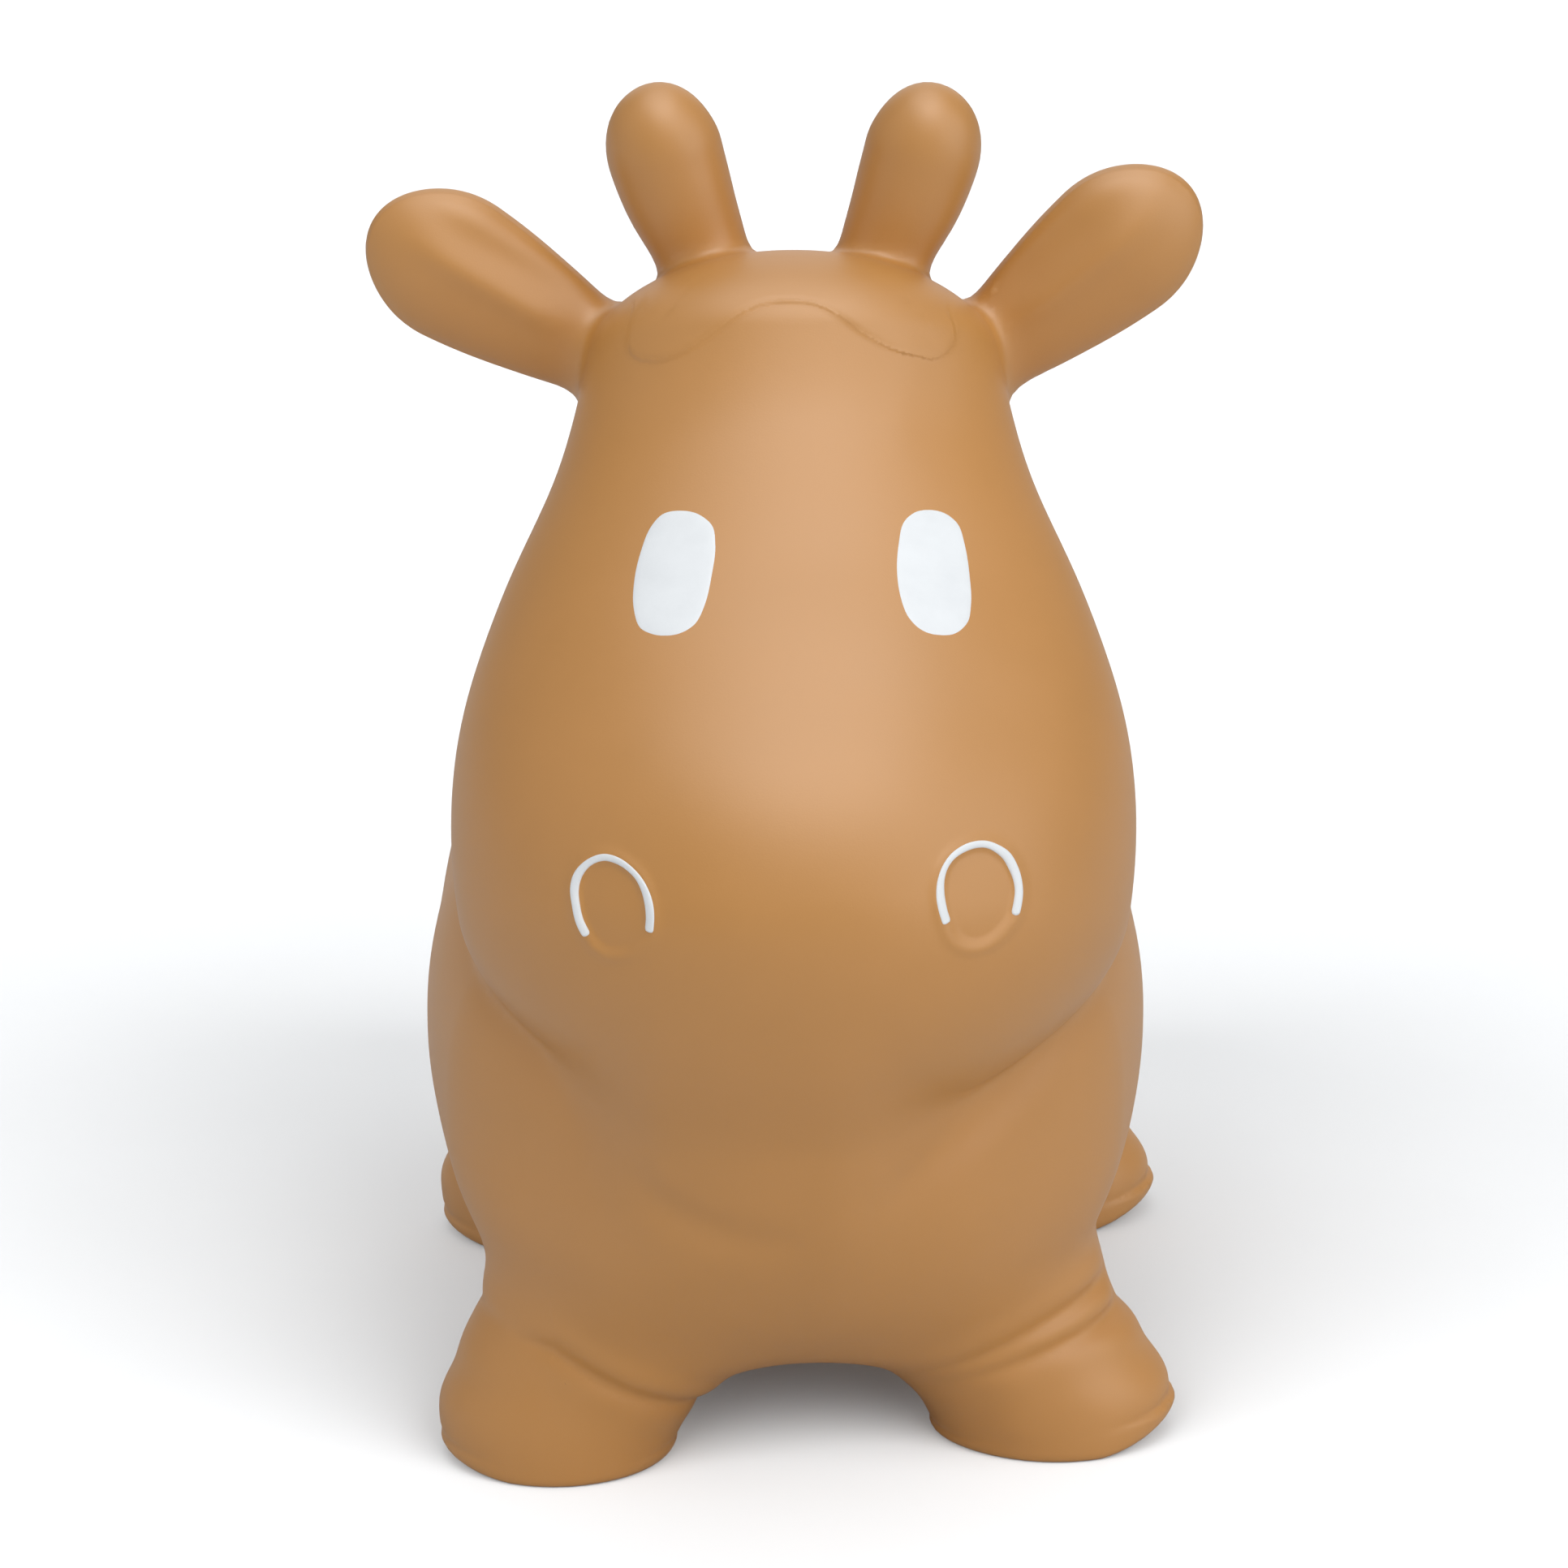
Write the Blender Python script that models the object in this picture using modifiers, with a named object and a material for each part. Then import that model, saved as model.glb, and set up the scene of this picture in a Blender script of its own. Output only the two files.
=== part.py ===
"""Inflatable bouncy ride on cow: a hollow rubber moulding, parted where it flexes, and its valve.

Metres, +Z up. The animal stands on the plane z = 0 and faces -Y, so its own left is at +X.
"""
import math

import bmesh
import bpy
import numpy as np
from mathutils import Matrix, Vector

# Skin
wall = 0.0025
gap = 0.0003
overrun = 0.0200

# Trunk, with its length along Y
trunk_length = 0.4640
chest_forward = 0.2040
trunk_half_width = 0.1350
trunk_sway = 0.0030
trunk_half_height = 0.1080
belly_clearance = 0.0445
chest_round = 0.0875
rump_round = 0.0930
trunk_squareness = 2.3

# Head, from the poll down and forward to the chin
poll_rise = 0.2850
poll_forward = 0.0340
head_drop = 0.2985
head_reach = 0.1265
head_half_width = 0.1232
head_half_depth = 0.1220
poll_round = 0.0360
chin_round = 0.0780
head_squareness = 2.1

# Ears
ear_root_drop = 0.0378
ear_sunk = 0.0310
ear_length = 0.1295
ear_half_width = 0.0270
ear_half_thickness = 0.0175
ear_root_round = 0.0060
ear_tip_round = 0.0380
ear_bend_radius = 0.0200
ear_bend_out = 0.0060
right_ear_lift = math.radians(31.0)
left_ear_lift = math.radians(40.0)

# Horns
horn_set_back = 0.0030
horn_sunk = 0.0355
horn_length = 0.0987
horn_radius = 0.0220
horn_root_round = 0.0060
horn_tip_round = 0.0280
horn_bend_radius = 0.0200
horn_bend_drop = 0.0015

# Feet
stance_skew = 0.0120
fore_foot_shift = 0.0050
hind_foot_shift = 0.0020
shoulder_shift = 0.0040
leg_top_round = 0.0300
foot_half_width = 0.0465
foot_half_length = 0.0450
sole_thickness = 0.0120
sole_lip = 0.0010
sole_edge = 0.0025

# Shares of the head's half width
ear_root_share = 0.5722
horn_tip_share = 0.4058
horn_bend_share = 0.2922
eye_share = 0.3693
nostril_share = 0.5114

# Shares of the trunk's half width, its length, the height of its axis and the clearance under it
fore_foot_share, shoulder_share = 0.6926, 0.4148
hind_foot_share, hip_share = 0.7593, 0.4444
fore_foot_place_share, hind_foot_place_share, valve_place_share = 0.2091, 0.7360, 0.5205
leg_top_share = 0.774
hoof_inner_share, hoof_outer_share = 0.63, 1.35

# Painted marks, placed on the face as it is seen from the front
paint_thickness = 0.0004
eye_drop = 0.0885
eye_half_width = 0.0148
eye_half_height = 0.0185
eye_lean = math.radians(9.0)
eye_squareness = 2.5
nostril_drop = 0.1855
nostril_half_width = 0.0146
nostril_half_height = 0.0172
nostril_stroke = 0.0030
nostril_half_sweep = math.radians(118.0)

# Valve in the belly
valve_bore = 0.0100
valve_collar = 0.0170
valve_collar_height = 0.0120
valve_flange = 0.0250
valve_flange_thickness = 0.0020
valve_boss_width = 0.0300
valve_boss_height = 0.0050
plug_clearance = 0.0003
plug_head = 0.0170
plug_head_thickness = 0.0030
plug_edge = 0.0008
plug_nose = 0.0030
plug_nose_taper = 0.0012

# Places that follow from the sizes above
trunk_axis_height = belly_clearance + trunk_half_height
trunk_front = -chest_forward
poll_line = -poll_forward
fore_foot_line = trunk_front + fore_foot_place_share * trunk_length
hind_foot_line = trunk_front + hind_foot_place_share * trunk_length
valve_line = trunk_front + valve_place_share * trunk_length
fore_foot_out = fore_foot_share * trunk_half_width
shoulder_out = shoulder_share * trunk_half_width
hind_foot_out = hind_foot_share * trunk_half_width
hip_out = hip_share * trunk_half_width
leg_height = leg_top_share * trunk_axis_height
hoof_inner_height = hoof_inner_share * belly_clearance
hoof_outer_height = hoof_outer_share * belly_clearance
poll_height = trunk_axis_height + poll_rise
ear_root_height = poll_height - ear_root_drop
ear_root_out = ear_root_share * head_half_width
horn_line = poll_line + horn_set_back
horn_sunk_height = poll_height - horn_sunk
horn_bend_height = poll_height - horn_bend_drop
horn_bend_out = horn_bend_share * head_half_width
horn_tip_out = horn_tip_share * head_half_width
eye_height = poll_height - eye_drop
eye_out = eye_share * head_half_width
nostril_height = poll_height - nostril_drop
nostril_out = nostril_share * head_half_width

# Faceting
trunk_rings, trunk_sides = 20, 28
trunk_hollow_rings, trunk_hollow_sides = 16, 24
head_rings, head_sides = 18, 28
head_hollow_rings, head_hollow_sides = 13, 24
ear_rings, ear_sides = 11, 16
ear_hollow_rings, ear_hollow_sides = 8, 12
horn_rings, horn_sides = 10, 16
horn_hollow_rings, horn_hollow_sides = 7, 12
leg_rings, leg_sides = 9, 20
leg_hollow_rings, leg_hollow_sides = 6, 16
mark_points = 20
turned_sides = 20
bend_sides = 16

# Each station gives shares of the trunk's length, and of its half height above the axis, then of its
# half width and of its half height over and under the spine
trunk_station_shares = (
    (0.000, -0.264, 0.672, 0.764, 0.800),
    (0.123, -0.171, 0.860, 0.935, 0.900),
    (0.278, -0.056, 0.993, 0.991, 0.960),
    (0.456, 0.000, 1.000, 0.954, 1.000),
    (0.634, 0.019, 0.993, 0.963, 0.981),
    (0.789, 0.051, 0.948, 0.972, 0.935),
    (0.912, 0.088, 0.852, 0.926, 0.843),
    (1.000, 0.116, 0.723, 0.819, 0.745),
)
# Shares of the head's reach forward, its drop, its half width and its half depth behind and in front
head_station_shares = (
    (0.000, 0.000, 0.552, 0.422, 0.463),
    (0.095, 0.100, 0.603, 0.541, 0.500),
    (0.241, 0.256, 0.702, 0.676, 0.590),
    (0.447, 0.412, 0.880, 0.803, 0.693),
    (0.652, 0.561, 0.994, 0.885, 0.845),
    (0.814, 0.705, 1.000, 0.844, 0.997),
    (0.937, 0.861, 0.912, 0.762, 0.955),
    (1.000, 1.000, 0.755, 0.631, 0.762),
)
# Shares of the ear's length, half width and half thickness
ear_station_shares = (
    (0.00, 0.63, 0.80),
    (0.25, 0.64, 0.80),
    (0.42, 0.81, 0.88),
    (0.62, 0.98, 0.97),
    (0.80, 1.05, 1.00),
    (1.00, 1.02, 0.95),
)
# Shares of the horn tip's place out, of the horn's rise and of its radius
horn_station_shares = (
    (0.500, 0.000, 0.75),
    (0.590, 0.220, 0.75),
    (0.705, 0.400, 0.81),
    (0.850, 0.583, 0.93),
    (0.965, 0.775, 0.98),
    (1.030, 1.000, 1.00),
)
# Shares of the leg's lean inward, its height, and the foot's half width and half length
leg_station_shares = (
    (0.000, 0.000, 0.935, 0.955),
    (0.035, 0.170, 0.955, 0.975),
    (0.180, 0.290, 0.900, 0.955),
    (0.600, 0.450, 0.820, 0.935),
    (0.950, 0.650, 0.800, 1.060),
    (1.000, 1.000, 1.200, 1.340),
)

# Colours from the photograph, linear, and how rough each surface is
caramel = (0.571, 0.305, 0.130)
white = (0.83, 0.86, 0.88)
milky = (0.72, 0.70, 0.64)
skin_roughness = 0.50
foot_roughness = 0.48
sole_roughness = 0.55
paint_roughness = 0.45
vinyl_roughness = 0.45
sharp_angle = math.radians(40.0)

right, left = -1, 1


class Form:
    """A spine of stations, with a half width and a half depth over and under the spine at each."""

    def __init__(self, spine, widths, overs, unders, start_round, end_round, side, squareness):
        self.spine = np.array(spine, float)
        self.sizes = np.array([widths, overs, unders], float).T
        self.start_round = start_round
        self.end_round = end_round
        self.side = np.array(side, float)
        self.squareness = squareness
        steps = np.linalg.norm(np.diff(self.spine, axis=0), axis=1)
        self.at = np.concatenate([[0.0], np.cumsum(steps)])
        self.length = self.at[-1]


def through(at, values, wanted):
    """Cubic through the stations, with the slope of the parabola through each and its neighbours."""
    gaps = np.diff(at)
    slopes = np.diff(values, axis=0) / gaps[:, None]
    inner = slopes[:-1] * gaps[1:, None] + slopes[1:] * gaps[:-1, None]
    inner /= (gaps[1:] + gaps[:-1])[:, None]
    slopes = np.vstack([slopes[:1], inner, slopes[-1:]])
    i = np.clip(np.searchsorted(at, wanted) - 1, 0, len(gaps) - 1)
    step = gaps[i][:, None]
    t = (wanted - at[i])[:, None] / step
    start = values[i] * (1 + 2 * t) + slopes[i] * step * t
    end = values[i + 1] * (3 - 2 * t) - slopes[i + 1] * step * (1 - t)
    return start * (1 - t) ** 2 + end * t ** 2


def rounding(distance, radius):
    """Share of the full section that is left at a distance from an end rounded over a radius."""
    if radius == 0:
        return np.ones_like(distance)
    return np.sqrt(1 - (1 - np.clip(distance / radius, 0, 1)) ** 2)


def surface_of(form, rings, sides):
    """Rings of points round the spine, closer together towards its ends, each a superellipse."""
    turn = np.linspace(0, math.pi, rings + 2)
    wanted = form.length * (1 - np.cos(turn)) / 2
    wanted = wanted[1:-1] if form.start_round else wanted[:-1]
    centres = through(form.at, form.spine, wanted)
    sizes = through(form.at, form.sizes, wanted)
    sizes *= rounding(wanted, form.start_round)[:, None]
    sizes *= rounding(form.length - wanted, form.end_round)[:, None]
    along = np.gradient(centres, wanted, axis=0)
    along /= np.linalg.norm(along, axis=1)[:, None]
    side = form.side - along * (along @ form.side)[:, None]
    side /= np.linalg.norm(side, axis=1)[:, None]
    over = np.cross(side, along)
    angle = np.linspace(0, 2 * math.pi, sides, endpoint=False)
    power = 2 / form.squareness
    x = np.sign(np.cos(angle)) * np.abs(np.cos(angle)) ** power
    y = np.sign(np.sin(angle)) * np.abs(np.sin(angle)) ** power
    depth = np.where(y >= 0, sizes[:, 1:2], sizes[:, 2:3])
    points = centres[:, None] + (sizes[:, :1] * x)[..., None] * side[:, None]
    return points + (depth * y)[..., None] * over[:, None]


def normals_of(points):
    """Unit normals of a grid of rings, facing away from each ring's middle."""
    along = np.gradient(points, axis=0)
    around = np.roll(points, -1, axis=1) - np.roll(points, 1, axis=1)
    normals = np.cross(along, around)
    normals /= np.linalg.norm(normals, axis=2)[..., None]
    outward = points - points.mean(axis=1, keepdims=True)
    return normals * np.sign((normals * outward).sum())


def loft(name, form, rings, sides, grow=0.0):
    """Solid through the form's rings, offset along its normals, closed by a point or a flat end.

    Each four corners are parted the same way at every offset, and mirrored from side to side.
    """
    points = surface_of(form, rings, sides)
    points = points + grow * normals_of(points)
    start_way = Vector(form.spine[0] - form.spine[1]).normalized()
    end_way = Vector(form.spine[-1] - form.spine[-2]).normalized()
    built = bmesh.new()
    loops = [[built.verts.new(point) for point in ring] for ring in points]
    for lower, upper in zip(loops, loops[1:]):
        for j in range(sides):
            corners = [lower[j - 1], lower[j], upper[j], upper[j - 1]]
            if (j + sides // 4 - 1) % sides < sides // 2:
                corners = corners[1:] + corners[:1]
            built.faces.new((corners[0], corners[1], corners[2]))
            built.faces.new((corners[0], corners[2], corners[3]))
    tip = built.verts.new(Vector(form.spine[-1]) + grow * end_way)
    for j in range(sides):
        built.faces.new((loops[-1][j - 1], loops[-1][j], tip))
    if form.start_round:
        tail = built.verts.new(Vector(form.spine[0]) + grow * start_way)
        for j in range(sides):
            built.faces.new((loops[0][j], loops[0][j - 1], tail))
    else:
        built.faces.new(loops[0][::-1])
    bmesh.ops.recalc_face_normals(built, faces=built.faces)
    return from_bmesh(name, built)


def from_bmesh(name, built):
    """New object from a bmesh, smooth but for its sharp edges."""
    mesh = bpy.data.meshes.new(name)
    built.to_mesh(mesh)
    built.free()
    mesh.shade_smooth()
    mesh.set_sharp_from_angle(angle=sharp_angle)
    return bpy.data.objects.new(name, mesh)


def prism(name, outline, way, start, end):
    """Outline of points, pushed along a direction from one distance to another."""
    way = Vector(way)
    built = bmesh.new()
    near = [built.verts.new(Vector(point) + way * start) for point in outline]
    far = [built.verts.new(Vector(point) + way * end) for point in outline]
    built.faces.new(near)
    built.faces.new(far[::-1])
    for j in range(len(outline)):
        built.faces.new((near[j], near[j - 1], far[j - 1], far[j]))
    bmesh.ops.recalc_face_normals(built, faces=built.faces)
    return from_bmesh(name, built)


def turned(name, profile, place):
    """Closed profile of radius and height, turned about Z by a Screw modifier."""
    mesh = bpy.data.meshes.new(name)
    edges = [(j, (j + 1) % len(profile)) for j in range(len(profile))]
    on_axis = [j for j, (radius, _) in enumerate(profile) if radius == 0]
    if on_axis:
        edges = [edge for edge in edges if not set(edge) <= set(on_axis)]
    mesh.from_pydata([(radius, 0, height) for radius, height in profile], edges, [])
    thing = bpy.data.objects.new(name, mesh)
    screw = thing.modifiers.new("turn", "SCREW")
    screw.steps = turned_sides
    screw.render_steps = turned_sides
    screw.use_merge_vertices = True
    screw.merge_threshold = gap / 10
    thing.location = place
    return thing


def taken_out(name):
    """The primitive that was just added, named, and out of the collection that it was added to."""
    thing = bpy.context.object
    thing.name = name
    for collection in thing.users_collection:
        collection.objects.unlink(thing)
    return thing


def box(name, low, high):
    """Box between two corners, from the cube primitive."""
    bpy.ops.mesh.primitive_cube_add(size=1.0)
    thing = taken_out(name)
    low, high = Vector(low), Vector(high)
    size = Matrix.Diagonal((*(high - low), 1))
    thing.data.transform(Matrix.Translation((low + high) / 2) @ size)
    return thing


def combine(thing, operation, *others):
    """Boolean modifiers, one for each other object."""
    for other in others:
        modifier = thing.modifiers.new(other.name, "BOOLEAN")
        modifier.operation = operation
        modifier.object = other
        modifier.solver = "EXACT"
    return thing


def hide(thing):
    """Put a cutter away with the other cutters."""
    cutters.objects.link(thing)
    thing.hide_render = True
    thing.display_type = "WIRE"
    return thing


def show(thing, colour, roughness):
    """Give a piece of the animal its material and put it with the others."""
    material = bpy.data.materials.new(thing.name)
    material.use_nodes = True
    shader = material.node_tree.nodes["Principled BSDF"]
    shader.inputs["Base Color"].default_value = (*colour, 1)
    shader.inputs["Roughness"].default_value = roughness
    shader.inputs["Metallic"].default_value = 0
    thing.data.materials.append(material)
    animal.objects.link(thing)
    return thing


def move_origin(thing, place):
    """Put a piece's origin on its joint, with its surface where it was."""
    thing.data.transform(Matrix.Translation(-Vector(place)))
    thing.location = place


def trunk_form():
    """The barrel of the body, from the chest to the rump."""
    along, rise, width, over, under = np.array(trunk_station_shares).T
    spine = np.array([0 * along - trunk_sway, trunk_front + along * trunk_length,
                      trunk_axis_height + rise * trunk_half_height]).T
    return Form(spine, width * trunk_half_width, over * trunk_half_height, under * trunk_half_height,
                chest_round, rump_round, (1, 0, 0), trunk_squareness)


def head_form():
    """The pear of the head, from the poll to the chin, whose spine leans forward."""
    forward, down, width, back, front = np.array(head_station_shares).T
    spine = np.array([0 * forward, poll_line - forward * head_reach, poll_height - down * head_drop]).T
    return Form(spine, width * head_half_width, back * head_half_depth, front * head_half_depth,
                poll_round, chin_round, (1, 0, 0), head_squareness)


def ear_frame(side, lift):
    """Where an ear leaves the head, its direction, and the direction of its hinge."""
    root = Vector((side * ear_root_out, poll_line, ear_root_height))
    way = Vector((side * math.cos(lift), 0, math.sin(lift)))
    hinge = Vector((-side * math.sin(lift), 0, math.cos(lift)))
    return root, way, hinge


def ear_form(side, lift):
    """A paddle along a straight line out of the head."""
    along, width, thickness = np.array(ear_station_shares).T
    root, way, hinge = ear_frame(side, lift)
    spine = np.array(root) + np.outer(along * ear_length - ear_sunk, way)
    half = thickness * ear_half_thickness
    return Form(spine, width * ear_half_width, half, half, ear_root_round, ear_tip_round, hinge, 2)


def horn_form(side):
    """A club that rises and curls outward."""
    out, rise, radius = np.array(horn_station_shares).T
    spine = np.array([side * out * horn_tip_out, horn_line + 0 * out,
                      horn_sunk_height + rise * horn_length]).T
    half = radius * horn_radius
    return Form(spine, half, half, half, horn_root_round, horn_tip_round, (1, 0, 0), 2)


def leg_form(side, line, foot_out, top_out):
    """A short leg from the floor up into the trunk, leaning inward."""
    lean, height, width, length = np.array(leg_station_shares).T
    spine = np.array([side * (foot_out - lean * (foot_out - top_out)), line + 0 * lean,
                      height * leg_height]).T
    half = length * foot_half_length
    return Form(spine, width * foot_half_width, half, half, 0, leg_top_round, (1, 0, 0), 2)


def bend_block(name, centre, way, hinge, radius, behind, half_length):
    """What lies within a radius of a hinge line, and behind it, as a prism along the hinge."""
    cross = way.cross(hinge)
    outline = [centre - way * behind - cross * radius]
    for j in range(bend_sides + 1):
        angle = math.pi * j / bend_sides - math.pi / 2
        outline.append(centre + way * (radius * math.cos(angle)) + cross * (radius * math.sin(angle)))
    outline.append(centre - way * behind + cross * radius)
    return prism(name, outline, hinge, -half_length, half_length)


def limb(name, form, rings, sides, hollow_rings, hollow_sides, block, root_block):
    """A hollow limb beyond its bend, its root on the head, and the hollow through both."""
    hollow = hide(loft(name + "_hollow", form, hollow_rings, hollow_sides, -wall))
    root = hide(loft(name + "_root", form, rings, sides))
    combine(root, "INTERSECT", hide(root_block))
    outer = loft(name, form, rings, sides)
    combine(outer, "DIFFERENCE", hide(block), hollow)
    return outer, root, hollow


def make_ear(name, side, lift):
    """An ear, with its origin on the hinge line at its root."""
    root, way, hinge = ear_frame(side, lift)
    centre = root + way * ear_bend_out
    half_length = ear_half_width + overrun
    block = bend_block(name + "_bend", centre, way, hinge, ear_bend_radius, ear_sunk + overrun, half_length)
    inner = bend_block(name + "_seat", centre, way, hinge, ear_bend_radius - gap, ear_sunk + overrun, half_length)
    ear, stub, hollow = limb(name, ear_form(side, lift), ear_rings, ear_sides,
                             ear_hollow_rings, ear_hollow_sides, block, inner)
    move_origin(ear, centre)
    show(ear, caramel, skin_roughness)
    return stub, hollow


def make_horn(name, side):
    """A horn, with its origin on the hinge line at its root."""
    centre = Vector((side * horn_bend_out, horn_line, horn_bend_height))
    way, hinge = Vector((0, 0, 1)), Vector((1, 0, 0))
    behind = horn_bend_height - horn_sunk_height + overrun
    half_length = horn_radius + overrun
    block = bend_block(name + "_bend", centre, way, hinge, horn_bend_radius, behind, half_length)
    inner = bend_block(name + "_seat", centre, way, hinge, horn_bend_radius - gap, behind, half_length)
    horn, stub, hollow = limb(name, horn_form(side), horn_rings, horn_sides,
                              horn_hollow_rings, horn_hollow_sides, block, inner)
    move_origin(horn, centre)
    show(horn, caramel, skin_roughness)
    return stub, hollow


def slanted_box(name, side, foot_out, line, above):
    """Box over or under the slanted plane between hoof and ankle, clear of it by half a gap."""
    slope = math.atan2(hoof_outer_height - hoof_inner_height, 2 * foot_half_width)
    reach = 2 * foot_half_width + overrun
    if above:
        thing = box(name, (-reach, -reach, -gap / 2), (reach, reach, leg_height + overrun))
    else:
        thing = box(name, (-reach, -reach, -leg_height), (reach, reach, gap / 2))
    middle = (hoof_inner_height + hoof_outer_height) / 2
    place = Matrix.Translation((side * foot_out, line, middle))
    thing.data.transform(place @ Matrix.Rotation(-side * slope, 4, "Y"))
    return thing


def make_leg(name, side, line, foot_out, top_out):
    """Ankle on the body, and the hoof and sole that travel up towards it together."""
    form = leg_form(side, line, foot_out, top_out)
    hollow = hide(loft(name + "_hollow", form, leg_hollow_rings, leg_hollow_sides, -wall))
    place = Vector((side * foot_out, line, 0))
    reach = 2 * foot_half_width
    floor = hide(box(name + "_floor", (place.x - reach, line - reach, -overrun),
                     (place.x + reach, line + reach, sole_thickness + gap)))

    ankle = loft(name + "_ankle", form, leg_rings, leg_sides)
    lower = hide(slanted_box(name + "_under_ankle", side, foot_out, line, False))
    combine(ankle, "DIFFERENCE", lower, hollow, trunk_clear)
    show(ankle, caramel, skin_roughness)

    foot = bpy.data.objects.new(name + "_foot", None)
    foot.location = place
    animal.objects.link(foot)

    hoof = loft(name + "_hoof", form, leg_rings, leg_sides)
    upper = hide(slanted_box(name + "_over_hoof", side, foot_out, line, True))
    combine(hoof, "DIFFERENCE", upper, floor, hollow)
    hoof.data.transform(Matrix.Translation(-place))
    hoof.parent = foot
    show(hoof, caramel, foot_roughness)

    bpy.ops.mesh.primitive_cylinder_add(vertices=leg_sides, radius=1.0, depth=1.0)
    sole = taken_out(name + "_sole")
    width_share, length_share = leg_station_shares[0][2:]
    size = Matrix.Diagonal((width_share * foot_half_width + sole_lip,
                            length_share * foot_half_length + sole_lip, sole_thickness, 1))
    sole.data.transform(Matrix.Translation((0, 0, sole_thickness / 2)) @ size)
    sole.data.shade_smooth()
    sole.data.set_sharp_from_angle(angle=sharp_angle)
    edge = sole.modifiers.new("edge", "BEVEL")
    edge.width = sole_edge
    edge.segments = 2
    edge.limit_method = "ANGLE"
    sole.parent = foot
    show(sole, caramel, sole_roughness)
    return hollow


def eye_outline(side):
    """Leaning oval, a superellipse seen from the front."""
    outline = []
    for j in range(mark_points):
        angle = 2 * math.pi * j / mark_points
        power = 2 / eye_squareness
        x = math.copysign(abs(math.cos(angle)) ** power, math.cos(angle)) * eye_half_width
        z = math.copysign(abs(math.sin(angle)) ** power, math.sin(angle)) * eye_half_height
        outline.append((side * (eye_out + x - z * math.tan(eye_lean)), 0, eye_height + z))
    return outline


def nostril_outline(side):
    """Band along the upper part of an oval, open at the bottom, seen from the front."""
    outline = []
    for half_stroke in (nostril_stroke / 2, -nostril_stroke / 2):
        arc = []
        for j in range(mark_points):
            angle = math.pi / 2 + nostril_half_sweep * (1 - 2 * j / (mark_points - 1))
            x = (nostril_half_width + half_stroke) * math.cos(angle)
            z = (nostril_half_height + half_stroke) * math.sin(angle)
            arc.append((side * nostril_out + x, 0, nostril_height + z))
        outline += arc if half_stroke > 0 else arc[::-1]
    return outline


def make_mark(name, outline):
    """Film of paint on the face: the outline pushed back through a thin layer over the head."""
    front = poll_line - head_reach - head_half_depth - overrun
    mark = prism(name, outline, (0, 1, 0), front, poll_line - head_half_depth / 2)
    combine(mark, "INTERSECT", head_paint)
    combine(mark, "DIFFERENCE", head_clear)
    show(mark, white, paint_roughness)


def belly_height(line):
    """Height of the trunk's outer surface on its middle line, under a place along its length."""
    points = surface_of(trunk_form(), trunk_rings, trunk_sides)
    lowest = points[:, 3 * trunk_sides // 4]
    return float(np.interp(line, lowest[:, 1], lowest[:, 2]))


def make_valve():
    """Collar through the belly with a flange inside it, the stopper in its bore, and what they fit."""
    belly = belly_height(valve_line)
    place = Vector((0, valve_line, belly))
    flange = valve_boss_height + gap
    seat_profile = [
        (valve_bore / 2, valve_collar_height),
        (valve_collar / 2, valve_collar_height),
        (valve_collar / 2, flange + valve_flange_thickness),
        (valve_flange / 2, flange + valve_flange_thickness),
        (valve_flange / 2, flange),
        (valve_collar / 2, flange),
        (valve_collar / 2, 0),
        (valve_bore / 2, 0),
    ]
    seat = turned("valve_seat", seat_profile, place)
    show(seat, milky, vinyl_roughness)

    stem = valve_bore / 2 - plug_clearance
    plug_profile = [
        (0, valve_collar_height + plug_nose),
        (stem - plug_nose_taper, valve_collar_height + plug_nose),
        (stem, valve_collar_height),
        (stem, -gap),
        (plug_head / 2, -gap),
        (plug_head / 2, -gap - plug_head_thickness + plug_edge),
        (plug_head / 2 - plug_edge, -gap - plug_head_thickness),
        (0, -gap - plug_head_thickness),
    ]
    plug = turned("valve_plug", plug_profile, place)
    show(plug, milky, vinyl_roughness)

    boss_depth = valve_boss_height - wall / 2
    bpy.ops.mesh.primitive_cylinder_add(vertices=turned_sides, radius=valve_boss_width / 2, depth=boss_depth)
    boss = taken_out("valve_boss")
    boss.location = place + Vector((0, 0, valve_boss_height - boss_depth / 2))
    bpy.ops.mesh.primitive_cylinder_add(vertices=turned_sides, radius=valve_collar / 2 + gap, depth=overrun)
    hole = taken_out("valve_hole")
    hole.location = place
    return hide(boss), hide(hole)


for thing in list(bpy.data.objects):
    bpy.data.objects.remove(thing, do_unlink=True)

animal = bpy.data.collections.new("ride_on_cow")
cutters = bpy.data.collections.new("cutters")
bpy.context.scene.collection.children.link(animal)
bpy.context.scene.collection.children.link(cutters)

trunk_clear = hide(loft("trunk_clear", trunk_form(), trunk_rings, trunk_sides, gap))
trunk_hollow = hide(loft("trunk_hollow", trunk_form(), trunk_hollow_rings, trunk_hollow_sides, -wall))
head_clear = hide(loft("head_clear", head_form(), head_rings, head_sides, gap))
head_paint = hide(loft("head_paint", head_form(), head_rings, head_sides, gap + paint_thickness))
head_hollow = hide(loft("head_hollow", head_form(), head_hollow_rings, head_hollow_sides, -wall))

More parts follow.
